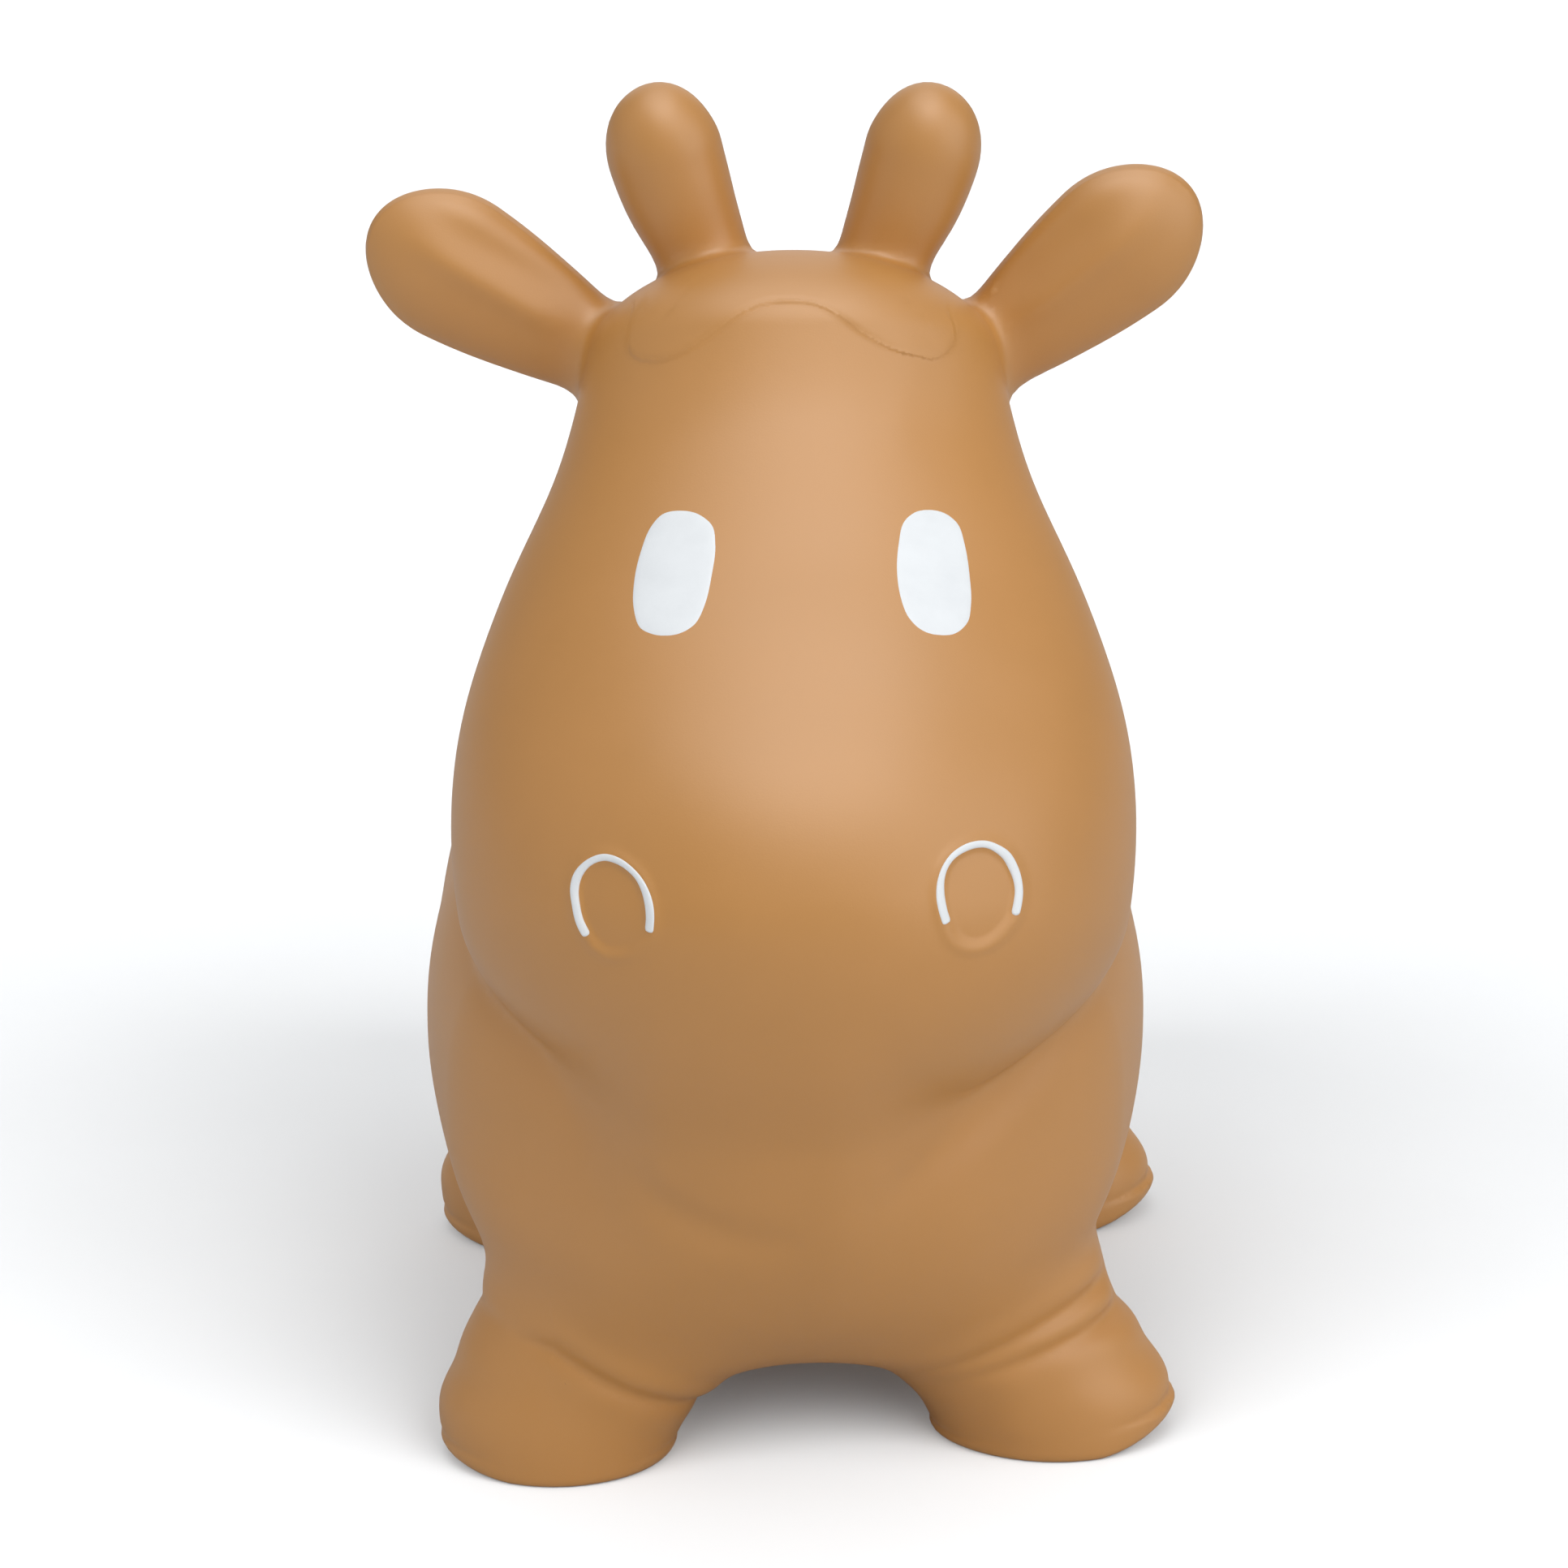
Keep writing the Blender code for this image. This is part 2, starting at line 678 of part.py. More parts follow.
limbs = [
    make_ear("right_ear", right, right_ear_lift),
    make_ear("left_ear", left, left_ear_lift),
    make_horn("right_horn", right),
    make_horn("left_horn", left),
]
legs = []
for side, side_name in ((right, "right"), (left, "left")):
    skew = side * stance_skew
    fore_out = fore_foot_out + side * fore_foot_shift
    hind_out = hind_foot_out + side * hind_foot_shift
    fore_top_out = shoulder_out - side * shoulder_shift
    legs.append(make_leg(side_name + "_fore", side, fore_foot_line + skew, fore_out, fore_top_out))
    legs.append(make_leg(side_name + "_hind", side, hind_foot_line + skew, hind_out, hip_out))
valve_boss, valve_hole = make_valve()

head = loft("head_skin", head_form(), head_rings, head_sides)
combine(head, "UNION", *[stub for stub, _ in limbs])
combine(head, "DIFFERENCE", head_hollow, *[hollow for _, hollow in limbs], trunk_clear)
show(head, caramel, skin_roughness)

trunk = loft("trunk_skin", trunk_form(), trunk_rings, trunk_sides)
combine(trunk, "DIFFERENCE", trunk_hollow, head_hollow, *legs)
combine(trunk, "UNION", valve_boss)
combine(trunk, "DIFFERENCE", valve_hole)
show(trunk, caramel, skin_roughness)

for side, side_name in ((right, "right"), (left, "left")):
    make_mark(side_name + "_eye_paint", eye_outline(side))
    make_mark(side_name + "_nostril_paint", nostril_outline(side))
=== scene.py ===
"""Looks of the inflatable ride on cow: one soft rubber skin, parted where the solids part.

Metres, +Z up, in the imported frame: the animal stands on z = 0 and faces -Y, its own left at +X.
"""
import math
from concurrent.futures import ThreadPoolExecutor

import bmesh
import bpy
import numpy as np
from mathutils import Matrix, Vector


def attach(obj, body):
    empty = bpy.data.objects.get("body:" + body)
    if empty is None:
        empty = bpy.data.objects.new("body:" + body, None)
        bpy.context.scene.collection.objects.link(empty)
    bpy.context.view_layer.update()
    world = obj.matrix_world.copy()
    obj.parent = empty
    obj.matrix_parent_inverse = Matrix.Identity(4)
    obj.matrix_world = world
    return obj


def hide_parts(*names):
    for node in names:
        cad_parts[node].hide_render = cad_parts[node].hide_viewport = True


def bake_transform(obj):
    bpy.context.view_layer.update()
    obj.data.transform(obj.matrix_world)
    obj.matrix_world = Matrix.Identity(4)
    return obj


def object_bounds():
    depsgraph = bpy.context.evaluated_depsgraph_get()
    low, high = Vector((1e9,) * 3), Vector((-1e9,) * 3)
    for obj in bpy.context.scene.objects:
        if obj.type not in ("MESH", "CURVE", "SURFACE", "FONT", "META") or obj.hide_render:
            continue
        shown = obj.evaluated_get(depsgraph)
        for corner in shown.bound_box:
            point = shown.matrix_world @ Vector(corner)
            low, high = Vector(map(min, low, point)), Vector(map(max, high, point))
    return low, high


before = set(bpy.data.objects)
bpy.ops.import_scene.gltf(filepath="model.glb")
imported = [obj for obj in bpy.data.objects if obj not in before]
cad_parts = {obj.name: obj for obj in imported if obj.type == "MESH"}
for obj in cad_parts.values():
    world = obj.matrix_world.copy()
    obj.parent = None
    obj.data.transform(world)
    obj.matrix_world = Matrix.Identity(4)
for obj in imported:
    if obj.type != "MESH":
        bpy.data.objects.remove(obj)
cad_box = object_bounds()

# Skin
wall = 0.0025
cell = 0.0030

# Trunk
trunk_length = 0.4640
trunk_front = -0.2040
trunk_sway = -0.0030
trunk_half_width = 0.1350
trunk_half_height = 0.1080
trunk_axis_height = 0.1525
chest_round = 0.0875
rump_round = 0.0930
trunk_squareness = 2.3

# Head
poll_height = 0.4375
poll_line = -0.0340
head_drop = 0.2985
head_reach = 0.1265
head_half_width = 0.1232
head_half_depth = 0.1220
poll_round = 0.0360
chin_round = 0.0780
head_squareness = 2.1

# Ears
ear_root_out = 0.0705
ear_root_height = 0.3997
ear_line = -0.0340
ear_sunk = 0.0310
ear_length = 0.1295
ear_half_width = 0.0270
ear_half_thickness = 0.0175
ear_root_round = 0.0060
ear_tip_round = 0.0380
ear_bend_out = 0.0060
right_ear_lift = math.radians(31.0)
left_ear_lift = math.radians(40.0)

# Horns
horn_line = -0.0310
horn_tip_out = 0.0500
horn_tip_height = 0.5007
horn_sunk_height = 0.4020
horn_radius = 0.0220
horn_root_round = 0.0060
horn_tip_round = 0.0280
horn_bend_height = 0.4360
horn_bend_out = 0.0360

# Feet
fore_foot_line = -0.1070
hind_foot_line = 0.1375
stance_skew = 0.0120
fore_foot_out = 0.0935
fore_foot_shift = 0.0050
hind_foot_out = 0.1025
hind_foot_shift = 0.0020
shoulder_out = 0.0560
shoulder_shift = 0.0040
hip_out = 0.0600
leg_height = 0.1180
leg_top_round = 0.0300
foot_half_width = 0.0465
foot_half_length = 0.0450
hoof_inner_height = 0.0280
hoof_outer_height = 0.0600

# Shares of each form's sizes, station by station, as the solids have them
trunk_station_shares = (
    (0.000, -0.264, 0.672, 0.764, 0.800),
    (0.123, -0.171, 0.860, 0.935, 0.900),
    (0.278, -0.056, 0.993, 0.991, 0.960),
    (0.456, 0.000, 1.000, 0.954, 1.000),
    (0.634, 0.019, 0.993, 0.963, 0.981),
    (0.789, 0.051, 0.948, 0.972, 0.935),
    (0.912, 0.088, 0.852, 0.926, 0.843),
    (1.000, 0.116, 0.723, 0.819, 0.745),
)
head_station_shares = (
    (0.000, 0.000, 0.552, 0.422, 0.463),
    (0.095, 0.100, 0.603, 0.541, 0.500),
    (0.241, 0.256, 0.702, 0.676, 0.590),
    (0.447, 0.412, 0.880, 0.803, 0.693),
    (0.652, 0.561, 0.994, 0.885, 0.845),
    (0.814, 0.705, 1.000, 0.844, 0.997),
    (0.937, 0.861, 0.912, 0.762, 0.955),
    (1.000, 1.000, 0.755, 0.631, 0.762),
)
ear_station_shares = (
    (0.00, 0.63, 0.80),
    (0.25, 0.64, 0.80),
    (0.42, 0.81, 0.88),
    (0.62, 0.98, 0.97),
    (0.80, 1.05, 1.00),
    (1.00, 1.02, 0.95),
)
horn_station_shares = (
    (0.500, 0.000, 0.75),
    (0.590, 0.220, 0.75),
    (0.705, 0.400, 0.81),
    (0.850, 0.583, 0.93),
    (0.965, 0.775, 0.98),
    (1.030, 1.000, 1.00),
)
right_leg_station_shares = (
    (0.000, 0.000, 0.900, 0.955),
    (0.035, 0.170, 0.955, 0.975),
    (0.210, 0.290, 0.865, 0.955),
    (0.570, 0.450, 0.880, 0.935),
    (0.920, 0.650, 0.900, 1.060),
    (1.000, 1.000, 1.200, 1.340),
)
left_leg_station_shares = (
    (0.010, 0.000, 0.935, 0.955),
    (0.075, 0.170, 0.960, 0.975),
    (0.230, 0.290, 0.800, 0.955),
    (0.570, 0.450, 0.775, 0.935),
    (0.950, 0.650, 0.985, 1.060),
    (1.000, 1.000, 1.200, 1.340),
)

# Fillets between the forms, each as the width over which two of them melt together
jaw_fillet = 0.010
throat_fillet = 0.100
right_jaw_spread = (0.045, 0.095)
left_jaw_spread = (0.010, 0.070)
nape_spread = (0.0375, 0.1125)
nape_fillet = 0.050
neck_front_to_back = (-0.16, -0.08)
shoulder_fillet = 0.050
arch_fillet = 0.080
arch_spread = (0.060, 0.100)
ear_fillet = 0.016
horn_fillet = 0.012
sole_edge_round = 0.006

# Where the skin is parted, and how far past a parting it bends
limb_cut = 0.0140
limb_bend = 0.0340
# A foot's bounce starts on a plane that clears the belly and ends on one that clears the sole. Its height
# between the two is over one and a half times the bounce, so that the fold doesn't cross itself.
ankle_lean = math.radians(24.2)
ankle_line = 0.0215
ankle_fold = 0.0240
sole_cut = 0.0140
belly = 0.0445
beside_foot = 0.075
beside_ear = 0.040
beside_horn = 0.0745
beside_nostril = 0.040

# Valve
valve_line = 0.0375
valve_hole = 0.0088

# Paint
paint_thickness = 0.00035
paint_sunk = 0.00045
nostril_stroke = 0.0030

# Relief on the skin: heights, depths and widths, and between which two places a mark fades
fringe_height, fringe_edge, fringe_fade, fringe_end = 0.0008, 0.0026, (0.006, 0.030), 0.16
fringe_slope, fringe_top = 0.29, 0.55
nostril_ridge, nostril_sink, nostril_soft, nostril_bevel = 0.0007, 0.0009, 0.0022, 0.00352
forehead_fold, forehead_fold_width = 0.0005, 0.0080
ankle_groove, ankle_groove_width = 0.0016, 0.0035
ankle_upper_roll, ankle_upper_roll_rise = 0.0013, 0.0070
ankle_lower_roll, ankle_lower_roll_fall = 0.00052, 0.0075
ankle_roll_width = 0.0060
ankle_fade = (0.062775, 0.08835)
toe_ridge, toe_ridge_width = 0.0011, 0.22
toe_ridge_start, toe_ridge_end = (0.004, 0.014), (0.030, 0.046)
sole_groove, sole_groove_width = 0.0006, 0.00154
sole_lip_edge, sole_inner_share = (-0.0033, 0.00044), 0.6
chin_fold_width = 0.0090
ear_seam, ear_seam_width, ear_seam_line = 0.0003, 0.0011, -0.0045
ear_ridge, ear_ridge_line, ear_ridge_width = 0.0019, 0.0030, 0.0055
ear_plane, ear_plane_line = 0.0014, 0.0150
ear_front, ear_marks_start, ear_marks_end = (-0.010, -0.002), (0.010, 0.035), (0.055, 0.098)

right, left = -1, 1
side_names = {right: "right", left: "left"}

# Boxes round the marks, as low and high corners
endless = np.inf
fringe_box = ((-0.075, -endless, 0.385), (0.075, -0.05, 0.445))
forehead_box = ((0.015, -endless, 0.360), (0.065, -0.05, 0.430))
chin_box = ((-0.130, -endless, 0.070), (0.130, -0.10, 0.200))
ear_boxes = {right: ((-endless, -endless, 0.38), (-0.074, 0, endless)),
             left: ((0.074, -endless, 0.38), (endless, 0, endless))}
nostril_margin, muzzle_line = 0.012, -0.15
foot_margin, ankle_top, sole_top = 0.090, 0.115, 0.045
least_reach = 1e-4

# How forms are tabled and measured
table_size = 3201
mark_step = 80
form_easing = 0.05
leg_easing = 0.06
easing_rounds = 3
spine_rounds = 4
least_steepness = 0.3
least_ring = 1e-6
least_square = 0.04
least_steep = 1e-4
tiny = 1e-12
far_off = 0.30
body_reach = 0.10
limb_reach = 0.03
round_section = 2

# How the skin is meshed: cells in a coarse block, how many blocks off the surface still count as near it,
# points in a batch, how far off a slope is probed, the least squares of slopes, and rounds of moving points
block = 4
near_blocks = 1.1
batch = 8000
probe = 0.0005
least_slope, least_parting_slope = 1e-6, 0.05
settle_rounds = 2
relax_rounds = 3
parting_rounds = 3
facing_rounds = 60
most_corners = 8
no_piece = 99
# How near the middle of a quad is to a nostril's rim, the fringe's edge and the valve's hole, for it to be
# parted a first and a second time
fine_nostril = {1: 0.008, 2: 0.004}
fine_fringe = {1: 0.007, 2: 0.003}
fine_valve = {1: 2.2 * cell, 2: cell}
fine_ear_out, fine_ear_height = 0.095, 0.38
fine_foot, fine_foot_height = 0.062, 0.075

# Painted marks, as places across and up the face
right_eye_outline = (
    (-0.0403, 0.3676), (-0.0470, 0.3658), (-0.0508, 0.3620), (-0.0547, 0.3537), (-0.0568, 0.3455),
    (-0.0569, 0.3377), (-0.0546, 0.3324), (-0.0499, 0.3309), (-0.0450, 0.3309), (-0.0393, 0.3322),
    (-0.0342, 0.3353), (-0.0308, 0.3411), (-0.0286, 0.3490), (-0.0273, 0.3582), (-0.0283, 0.3636),
    (-0.0332, 0.3669),
)
left_eye_outline = (
    (0.0481, 0.3671), (0.0425, 0.3668), (0.0388, 0.3645), (0.0366, 0.3577), (0.0359, 0.3497),
    (0.0370, 0.3429), (0.0395, 0.3371), (0.0447, 0.3325), (0.0511, 0.3305), (0.0575, 0.3305),
    (0.0616, 0.3331), (0.0629, 0.3380), (0.0626, 0.3458), (0.0610, 0.3552), (0.0588, 0.3613),
    (0.0542, 0.3652),
)
right_nostril_line = (
    (-0.0716, 0.2379), (-0.0742, 0.2426), (-0.0756, 0.2482), (-0.0761, 0.2527), (-0.0751, 0.2573),
    (-0.0728, 0.2609), (-0.0698, 0.2635), (-0.0655, 0.2653), (-0.0611, 0.2650), (-0.0568, 0.2631),
    (-0.0536, 0.2604), (-0.0512, 0.2564), (-0.0500, 0.2525), (-0.0496, 0.2485), (-0.0500, 0.2428),
)
left_nostril_line = (
    (0.0527, 0.2455), (0.0511, 0.2508), (0.0503, 0.2557), (0.0506, 0.2605), (0.0520, 0.2642),
    (0.0545, 0.2671), (0.0580, 0.2689), (0.0623, 0.2697), (0.0664, 0.2692), (0.0702, 0.2672),
    (0.0734, 0.2644), (0.0758, 0.2603), (0.0774, 0.2559), (0.0779, 0.2518), (0.0774, 0.2478),
    (0.0765, 0.2441),
)
# Lower ends of the nostril ovals, which have no paint
right_nostril_foot = (
    (-0.0533, 0.2385), (-0.0568, 0.2349), (-0.0611, 0.2331), (-0.0655, 0.2330), (-0.0690, 0.2347),
)
left_nostril_foot = (
    (0.0737, 0.2405), (0.0702, 0.2376), (0.0658, 0.2358), (0.0609, 0.2360), (0.0571, 0.2379),
    (0.0545, 0.2409),
)
# Edge of the fringe over the forehead, from right to left, in space
fringe_places = (
    (-0.0535, -0.0640, 0.4330), (-0.0565, -0.0725, 0.4290), (-0.0588, -0.0817, 0.4218),
    (-0.0602, -0.0865, 0.4138), (-0.0574, -0.0913, 0.4115), (-0.0520, -0.0967, 0.4112),
    (-0.0446, -0.1009, 0.4130), (-0.0367, -0.1028, 0.4169), (-0.0285, -0.1028, 0.4223),
    (-0.0198, -0.1014, 0.4285), (-0.0111, -0.0996, 0.4323), (-0.0009, -0.0991, 0.4334),
    (0.0093, -0.1000, 0.4321), (0.0175, -0.1022, 0.4281), (0.0239, -0.1037, 0.4234),
    (0.0303, -0.1039, 0.4196), (0.0370, -0.1030, 0.4164), (0.0414, -0.1015, 0.4152),
    (0.0467, -0.0994, 0.4133), (0.0509, -0.0970, 0.4121), (0.0557, -0.0914, 0.4139),
    (0.0581, -0.0867, 0.4168), (0.0580, -0.0790, 0.4230), (0.0560, -0.0700, 0.4290),
)
forehead_fold_places = (
    (0.0414, -0.1015, 0.4152), (0.0420, -0.1059, 0.4081), (0.0398, -0.1146, 0.3981),
    (0.0382, -0.1243, 0.3884), (0.0367, -0.1325, 0.3814),
)
# Soft folds under the chin, in space, and how deep each is
right_chin_places = ((-0.062, -0.196, 0.140), (-0.045, -0.204, 0.124), (-0.020, -0.208, 0.114),
                     (0.005, -0.208, 0.112))
left_chin_places = ((0.030, -0.200, 0.128), (0.055, -0.190, 0.142), (0.080, -0.176, 0.160),
                    (0.100, -0.158, 0.180))
right_chin_depth, left_chin_depth = 0.0021, 0.0026
# The share of its length that a fold stops short of each end, and the power that keeps it full up to there
chin_fold_end, chin_fold_fullness = 0.02, 0.7
# Each fold round an ankle: its height over the floor, how fast it rises outward on the inner and on the
# outer half, its share of the full depth, and the direction it faces, from straight out round by the front
ankle_folds = {
    right: ((0.0540, 0.58, 0.10, 1.00, 2.25), (0.0590, 0.00, 0.00, 0.45, 0.00)),
    left: ((0.0455, 0.30, 0.25, 1.00, 1.20), (0.0575, 0.40, 0.35, 0.85, 1.35),
           (0.0480, 0.00, 0.00, 0.45, 0.00)),
}
# How fast a fold grows as it turns to where it faces, and how much is taken off, so that it ends
ankle_fold_growth, ankle_fold_cut = 1.5, 0.45
# Where the front of a hoof turns from its inner to its outer face, and how plainly
toe_turn = {right: (1.75, 0.35), left: (1.95, 1.00)}
# The notch over a sole's lip: its height, its rise towards the outer side, and how far the lip flares there
sole_notch = {right: (0.0080, 0.0012, 0.0009), left: (0.0100, 0.0055, 0.0024)}
# How high a sole's outer edge is rolled off the floor, starting how far out, and by what power it rises
sole_lift = {right: 0.0045, left: 0.0095}
sole_lift_start = 0.015
sole_lift_power = 1.5
sole_lift_end = 1.3

# Points along the marks' lines, and rings or steps over the paint. Each swell of the nostril's brush stroke
# is a share of its width, how many radians it runs along the stroke, and how many times over it has the wave
# that its side starts with
fringe_points, forehead_points, chin_points, outline_points = 61, 13, 17, 49
eye_points, eye_rings, eye_flatness = 97, 25, 12
stroke_points, stroke_steps, stroke_flatness = 121, 13, 4
stroke_swells = ((0.16, 7, 1), (0.07, 23, 2))
right_wave, left_wave = 0.6, 2.1
merging = 1e-6


def through(at, values, wanted):
    """Cubic through the stations, with the slope of the parabola through each and its neighbours."""
    gaps = np.diff(at)
    slopes = np.diff(values, axis=0) / gaps[:, None]
    inner = slopes[:-1] * gaps[1:, None] + slopes[1:] * gaps[:-1, None]
    inner /= (gaps[1:] + gaps[:-1])[:, None]
    slopes = np.vstack([slopes[:1], inner, slopes[-1:]])
    i = np.clip(np.searchsorted(at, wanted) - 1, 0, len(gaps) - 1)
    step = gaps[i][:, None]
    t = (wanted - at[i])[:, None] / step
    start = values[i] * (1 + 2 * t) + slopes[i] * step * t
    end = values[i + 1] * (3 - 2 * t) - slopes[i + 1] * step * (1 - t)
    return start * (1 - t) ** 2 + end * t ** 2


def unit(rows):
    """Directions of rows, each at length 1."""
    return rows / np.maximum(np.linalg.norm(rows, axis=1), tiny)[:, None]


def run_along(line):
    """How far along a line of points each of them is."""
    return np.concatenate([[0], np.cumsum(np.linalg.norm(np.diff(line, axis=0), axis=1))])


def curve_through(points, count, closed):
    """Smooth line through points, evenly spaced, by the cubic that the forms use."""
    points = np.array(points, float)
    if closed:
        points = np.vstack([points[-3:], points, points[:4]])
    at = run_along(points)
    low, high = (at[3], at[-4]) if closed else (0, at[-1])
    return through(at, points, np.linspace(low, high, count))


def eased(values, count):
    """Rows evened a few times by the mean of count neighbours, so that no bend starts at a station."""
    half = count // 2
    for _ in range(easing_rounds):
        before = 2 * values[0] - values[half:0:-1]
        after = 2 * values[-1] - values[-2:-half - 2:-1]
        total = np.cumsum(np.vstack([0 * values[:1], before, values, after]), axis=0)
        values = (total[2 * half + 1:] - total[:-2 * half - 1]) / (2 * half + 1)
    return values


def looked_up(table, at, length):
    """Rows of a table at distances along its length, straight between its entries."""
    place = np.clip(at, 0, length) * np.float32((table_size - 1) / length)
    i = np.minimum(place.astype(np.int32), table_size - 2)
    share = (place - i)[:, None]
    return table[i] * (1 - share) + table[i + 1] * share


def distance_of(square, steep):
    """Distance outside a form: (k - 1) over the slope of k, from the squares of k and of k times that slope.

    k is how many times larger a like form through the point would be.
    """
    k = np.sqrt(np.maximum(square, least_square))
    return (k - 1) * k / np.sqrt(np.maximum(steep, least_steep))


class Form:
    """A spine of stations, with a half width and a half depth over and under the spine at each.

    Its spine, direction, bend, two cross directions and three sizes are tabled finely along its length.
    """

    def __init__(self, spine, widths, overs, unders, start_round, end_round, side, squareness, reach):
        spine = np.array(spine, float)
        sizes = np.array([widths, overs, unders], float).T
        self.start_round = start_round
        self.end_round = end_round
        self.squareness = squareness
        at = run_along(spine)
        self.length = at[-1]
        along = np.linspace(0, self.length, table_size)
        count = int(form_easing * table_size)
        places = eased(through(at, spine, along), count)
        way = unit(np.gradient(places, along, axis=0, edge_order=2))
        side = np.array(side, float)
        across = unit(side - way * (way @ side)[:, None])
        bend = np.gradient(way, along, axis=0)
        table = np.hstack([places, way, bend, across, np.cross(across, way),
                           eased(through(at, sizes, along), count)])
        self.table = table.astype(np.float32)
        self.marks = along[::mark_step].astype(np.float32)
        self.places = self.table[::mark_step, :3]
        margin = sizes.max() + reach
        self.low = (spine.min(axis=0) - margin).astype(np.float32)
        self.high = (spine.max(axis=0) + margin).astype(np.float32)

    def measure(self, points):
        """Distance of points outside the form, less than zero inside it.

        The section is a superellipse about the spine, and an end is rounded as an ellipsoid is.
        """
        out = np.full(len(points), far_off, np.float32)
        near = ((points > self.low) & (points < self.high)).all(axis=1)
        if not near.any():
            return out
        p = points[near]
        squares = (self.places ** 2).sum(1) - 2 * p @ self.places.T
        along = self.marks[squares.argmin(1)]
        for _ in range(spine_rounds):
            held = np.clip(along, 0, self.length)
            rows = looked_up(self.table[:, :9], held, self.length)
            offset = p - rows[:, :3]
            steepness = np.maximum(1 - (offset * rows[:, 6:9]).sum(1), least_steepness)
            along = held + (offset * rows[:, 3:6]).sum(1) / steepness
        held = np.clip(along, 0, self.length)
        rows = looked_up(self.table, held, self.length)
        offset = p - rows[:, :3]
        along = held + (offset * rows[:, 3:6]).sum(1)
        x = np.abs((offset * rows[:, 9:12]).sum(1))
        y = (offset * rows[:, 12:15]).sum(1)
        width = rows[:, 15]
        depth = np.where(y >= 0, rows[:, 16], rows[:, 17])
        q = self.squareness
        u = x / width
        v = np.abs(y) / depth
        if q == round_section:
            square = u ** 2 + v ** 2
            steep = (u / width) ** 2 + (v / depth) ** 2
        else:
            lift_u, lift_v = u ** (q - 1), v ** (q - 1)
            ring = np.maximum((lift_u * u + lift_v * v) ** (1 / q), least_ring)
            square = ring ** 2
            steep = ((lift_u / width) ** 2 + (lift_v / depth) ** 2) * ring ** (4 - 2 * q)
        for rounding, past in ((self.start_round, self.start_round - along),
                               (self.end_round, self.end_round - self.length + along)):
            cap = np.maximum(past, 0) / rounding
            square = square + cap ** 2
            steep = steep + (cap / rounding) ** 2
        out[near] = distance_of(square, steep)
        return out


def trunk_form():
    """The barrel of the body, from the chest to the rump."""
    along, rise, width, over, under = np.array(trunk_station_shares).T
    spine = np.array([trunk_sway + 0 * along, trunk_front + along * trunk_length,
                      trunk_axis_height + rise * trunk_half_height]).T
    return Form(spine, width * trunk_half_width, over * trunk_half_height, under * trunk_half_height,
                chest_round, rump_round, (1, 0, 0), trunk_squareness, body_reach)


def head_form():
    """The pear of the head, from the poll to the chin, whose spine leans forward."""
    forward, down, width, back, front = np.array(head_station_shares).T
    spine = np.array([0 * forward, poll_line - forward * head_reach, poll_height - down * head_drop]).T
    return Form(spine, width * head_half_width, back * head_half_depth, front * head_half_depth,
                poll_round, chin_round, (1, 0, 0), head_squareness, body_reach)


def ear_frame(side):
    """Where an ear leaves the head, its direction, and the direction of its hinge."""
    lift = right_ear_lift if side == right else left_ear_lift
    root = np.array([side * ear_root_out, ear_line, ear_root_height])
    way = np.array([side * math.cos(lift), 0, math.sin(lift)])
    hinge = np.array([-side * math.sin(lift), 0, math.cos(lift)])
    return root, way, hinge


def ear_form(side):
    """A paddle along a straight line out of the head."""
    along, width, thickness = np.array(ear_station_shares).T
    root, way, hinge = ear_frame(side)
    spine = root + np.outer(along * ear_length - ear_sunk, way)
    half = thickness * ear_half_thickness
    return Form(spine, width * ear_half_width, half, half, ear_root_round, ear_tip_round, hinge,
                round_section, limb_reach)


def horn_form(side):
    """A club that rises and curls outward."""
    out, rise, radius = np.array(horn_station_shares).T
    spine = np.array([side * out * horn_tip_out, horn_line + 0 * out,
                      horn_sunk_height + rise * (horn_tip_height - horn_sunk_height)]).T
    half = radius * horn_radius
    return Form(spine, half, half, half, horn_root_round, horn_tip_round, (1, 0, 0),
                round_section, limb_reach)


def foot_place(side, which):
    """Middle of a foot on the floor, and how far out the leg's spine is at its top."""
    if which == "fore":
        return (side * (fore_foot_out + side * fore_foot_shift), fore_foot_line + side * stance_skew,
                shoulder_out - side * shoulder_shift)
    return side * (hind_foot_out + side * hind_foot_shift), hind_foot_line + side * stance_skew, hip_out


class Leg:
    """A short leg of level oval sections, from the floor up into the trunk, leaning inward.

    Its middle, half width, half length and the slope of its middle are tabled by height. A section is
    wider by as much as the leg leans there, so that its width square to the lean stays the station's.
    """

    def __init__(self, side, which):
        shares = right_leg_station_shares if side == right else left_leg_station_shares
        lean, height, width, length = np.array(shares).T
        x, self.line, top_out = foot_place(side, which)
        heights = np.linspace(0, leg_height, table_size)
        middle = x + lean * (side * top_out - x)
        rows = np.array([middle, width * foot_half_width, length * foot_half_length]).T
        rows = eased(through(height * leg_height, rows, heights), int(leg_easing * table_size))
        slope = np.gradient(rows[:, 0], heights)
        rows[:, 1] *= np.sqrt(1 + slope ** 2)
        self.table = np.column_stack([rows, slope]).astype(np.float32)

    def measure(self, points):
        """Distance of points outside the leg, less than zero inside it, worked out as for a form."""
        x, y, z = points.T
        out = np.full(len(points), far_off, np.float32)
        near = (z < leg_height + body_reach) & (np.abs(y - self.line) < 2 * body_reach)
        near &= np.abs(x - self.table[0, 0]) < 2 * body_reach
        x, y, z = points[near].T
        middle, width, length, slope = looked_up(self.table, z, leg_height).T
        u, v = (x - middle) / width, (y - self.line) / length
        cap = np.maximum(leg_top_round - leg_height + z, 0) / leg_top_round
        steep = (u / width) ** 2 * (1 + slope ** 2) + (v / length) ** 2 + (cap / leg_top_round) ** 2
        out[near] = distance_of(u ** 2 + v ** 2 + cap ** 2, steep)
        return out


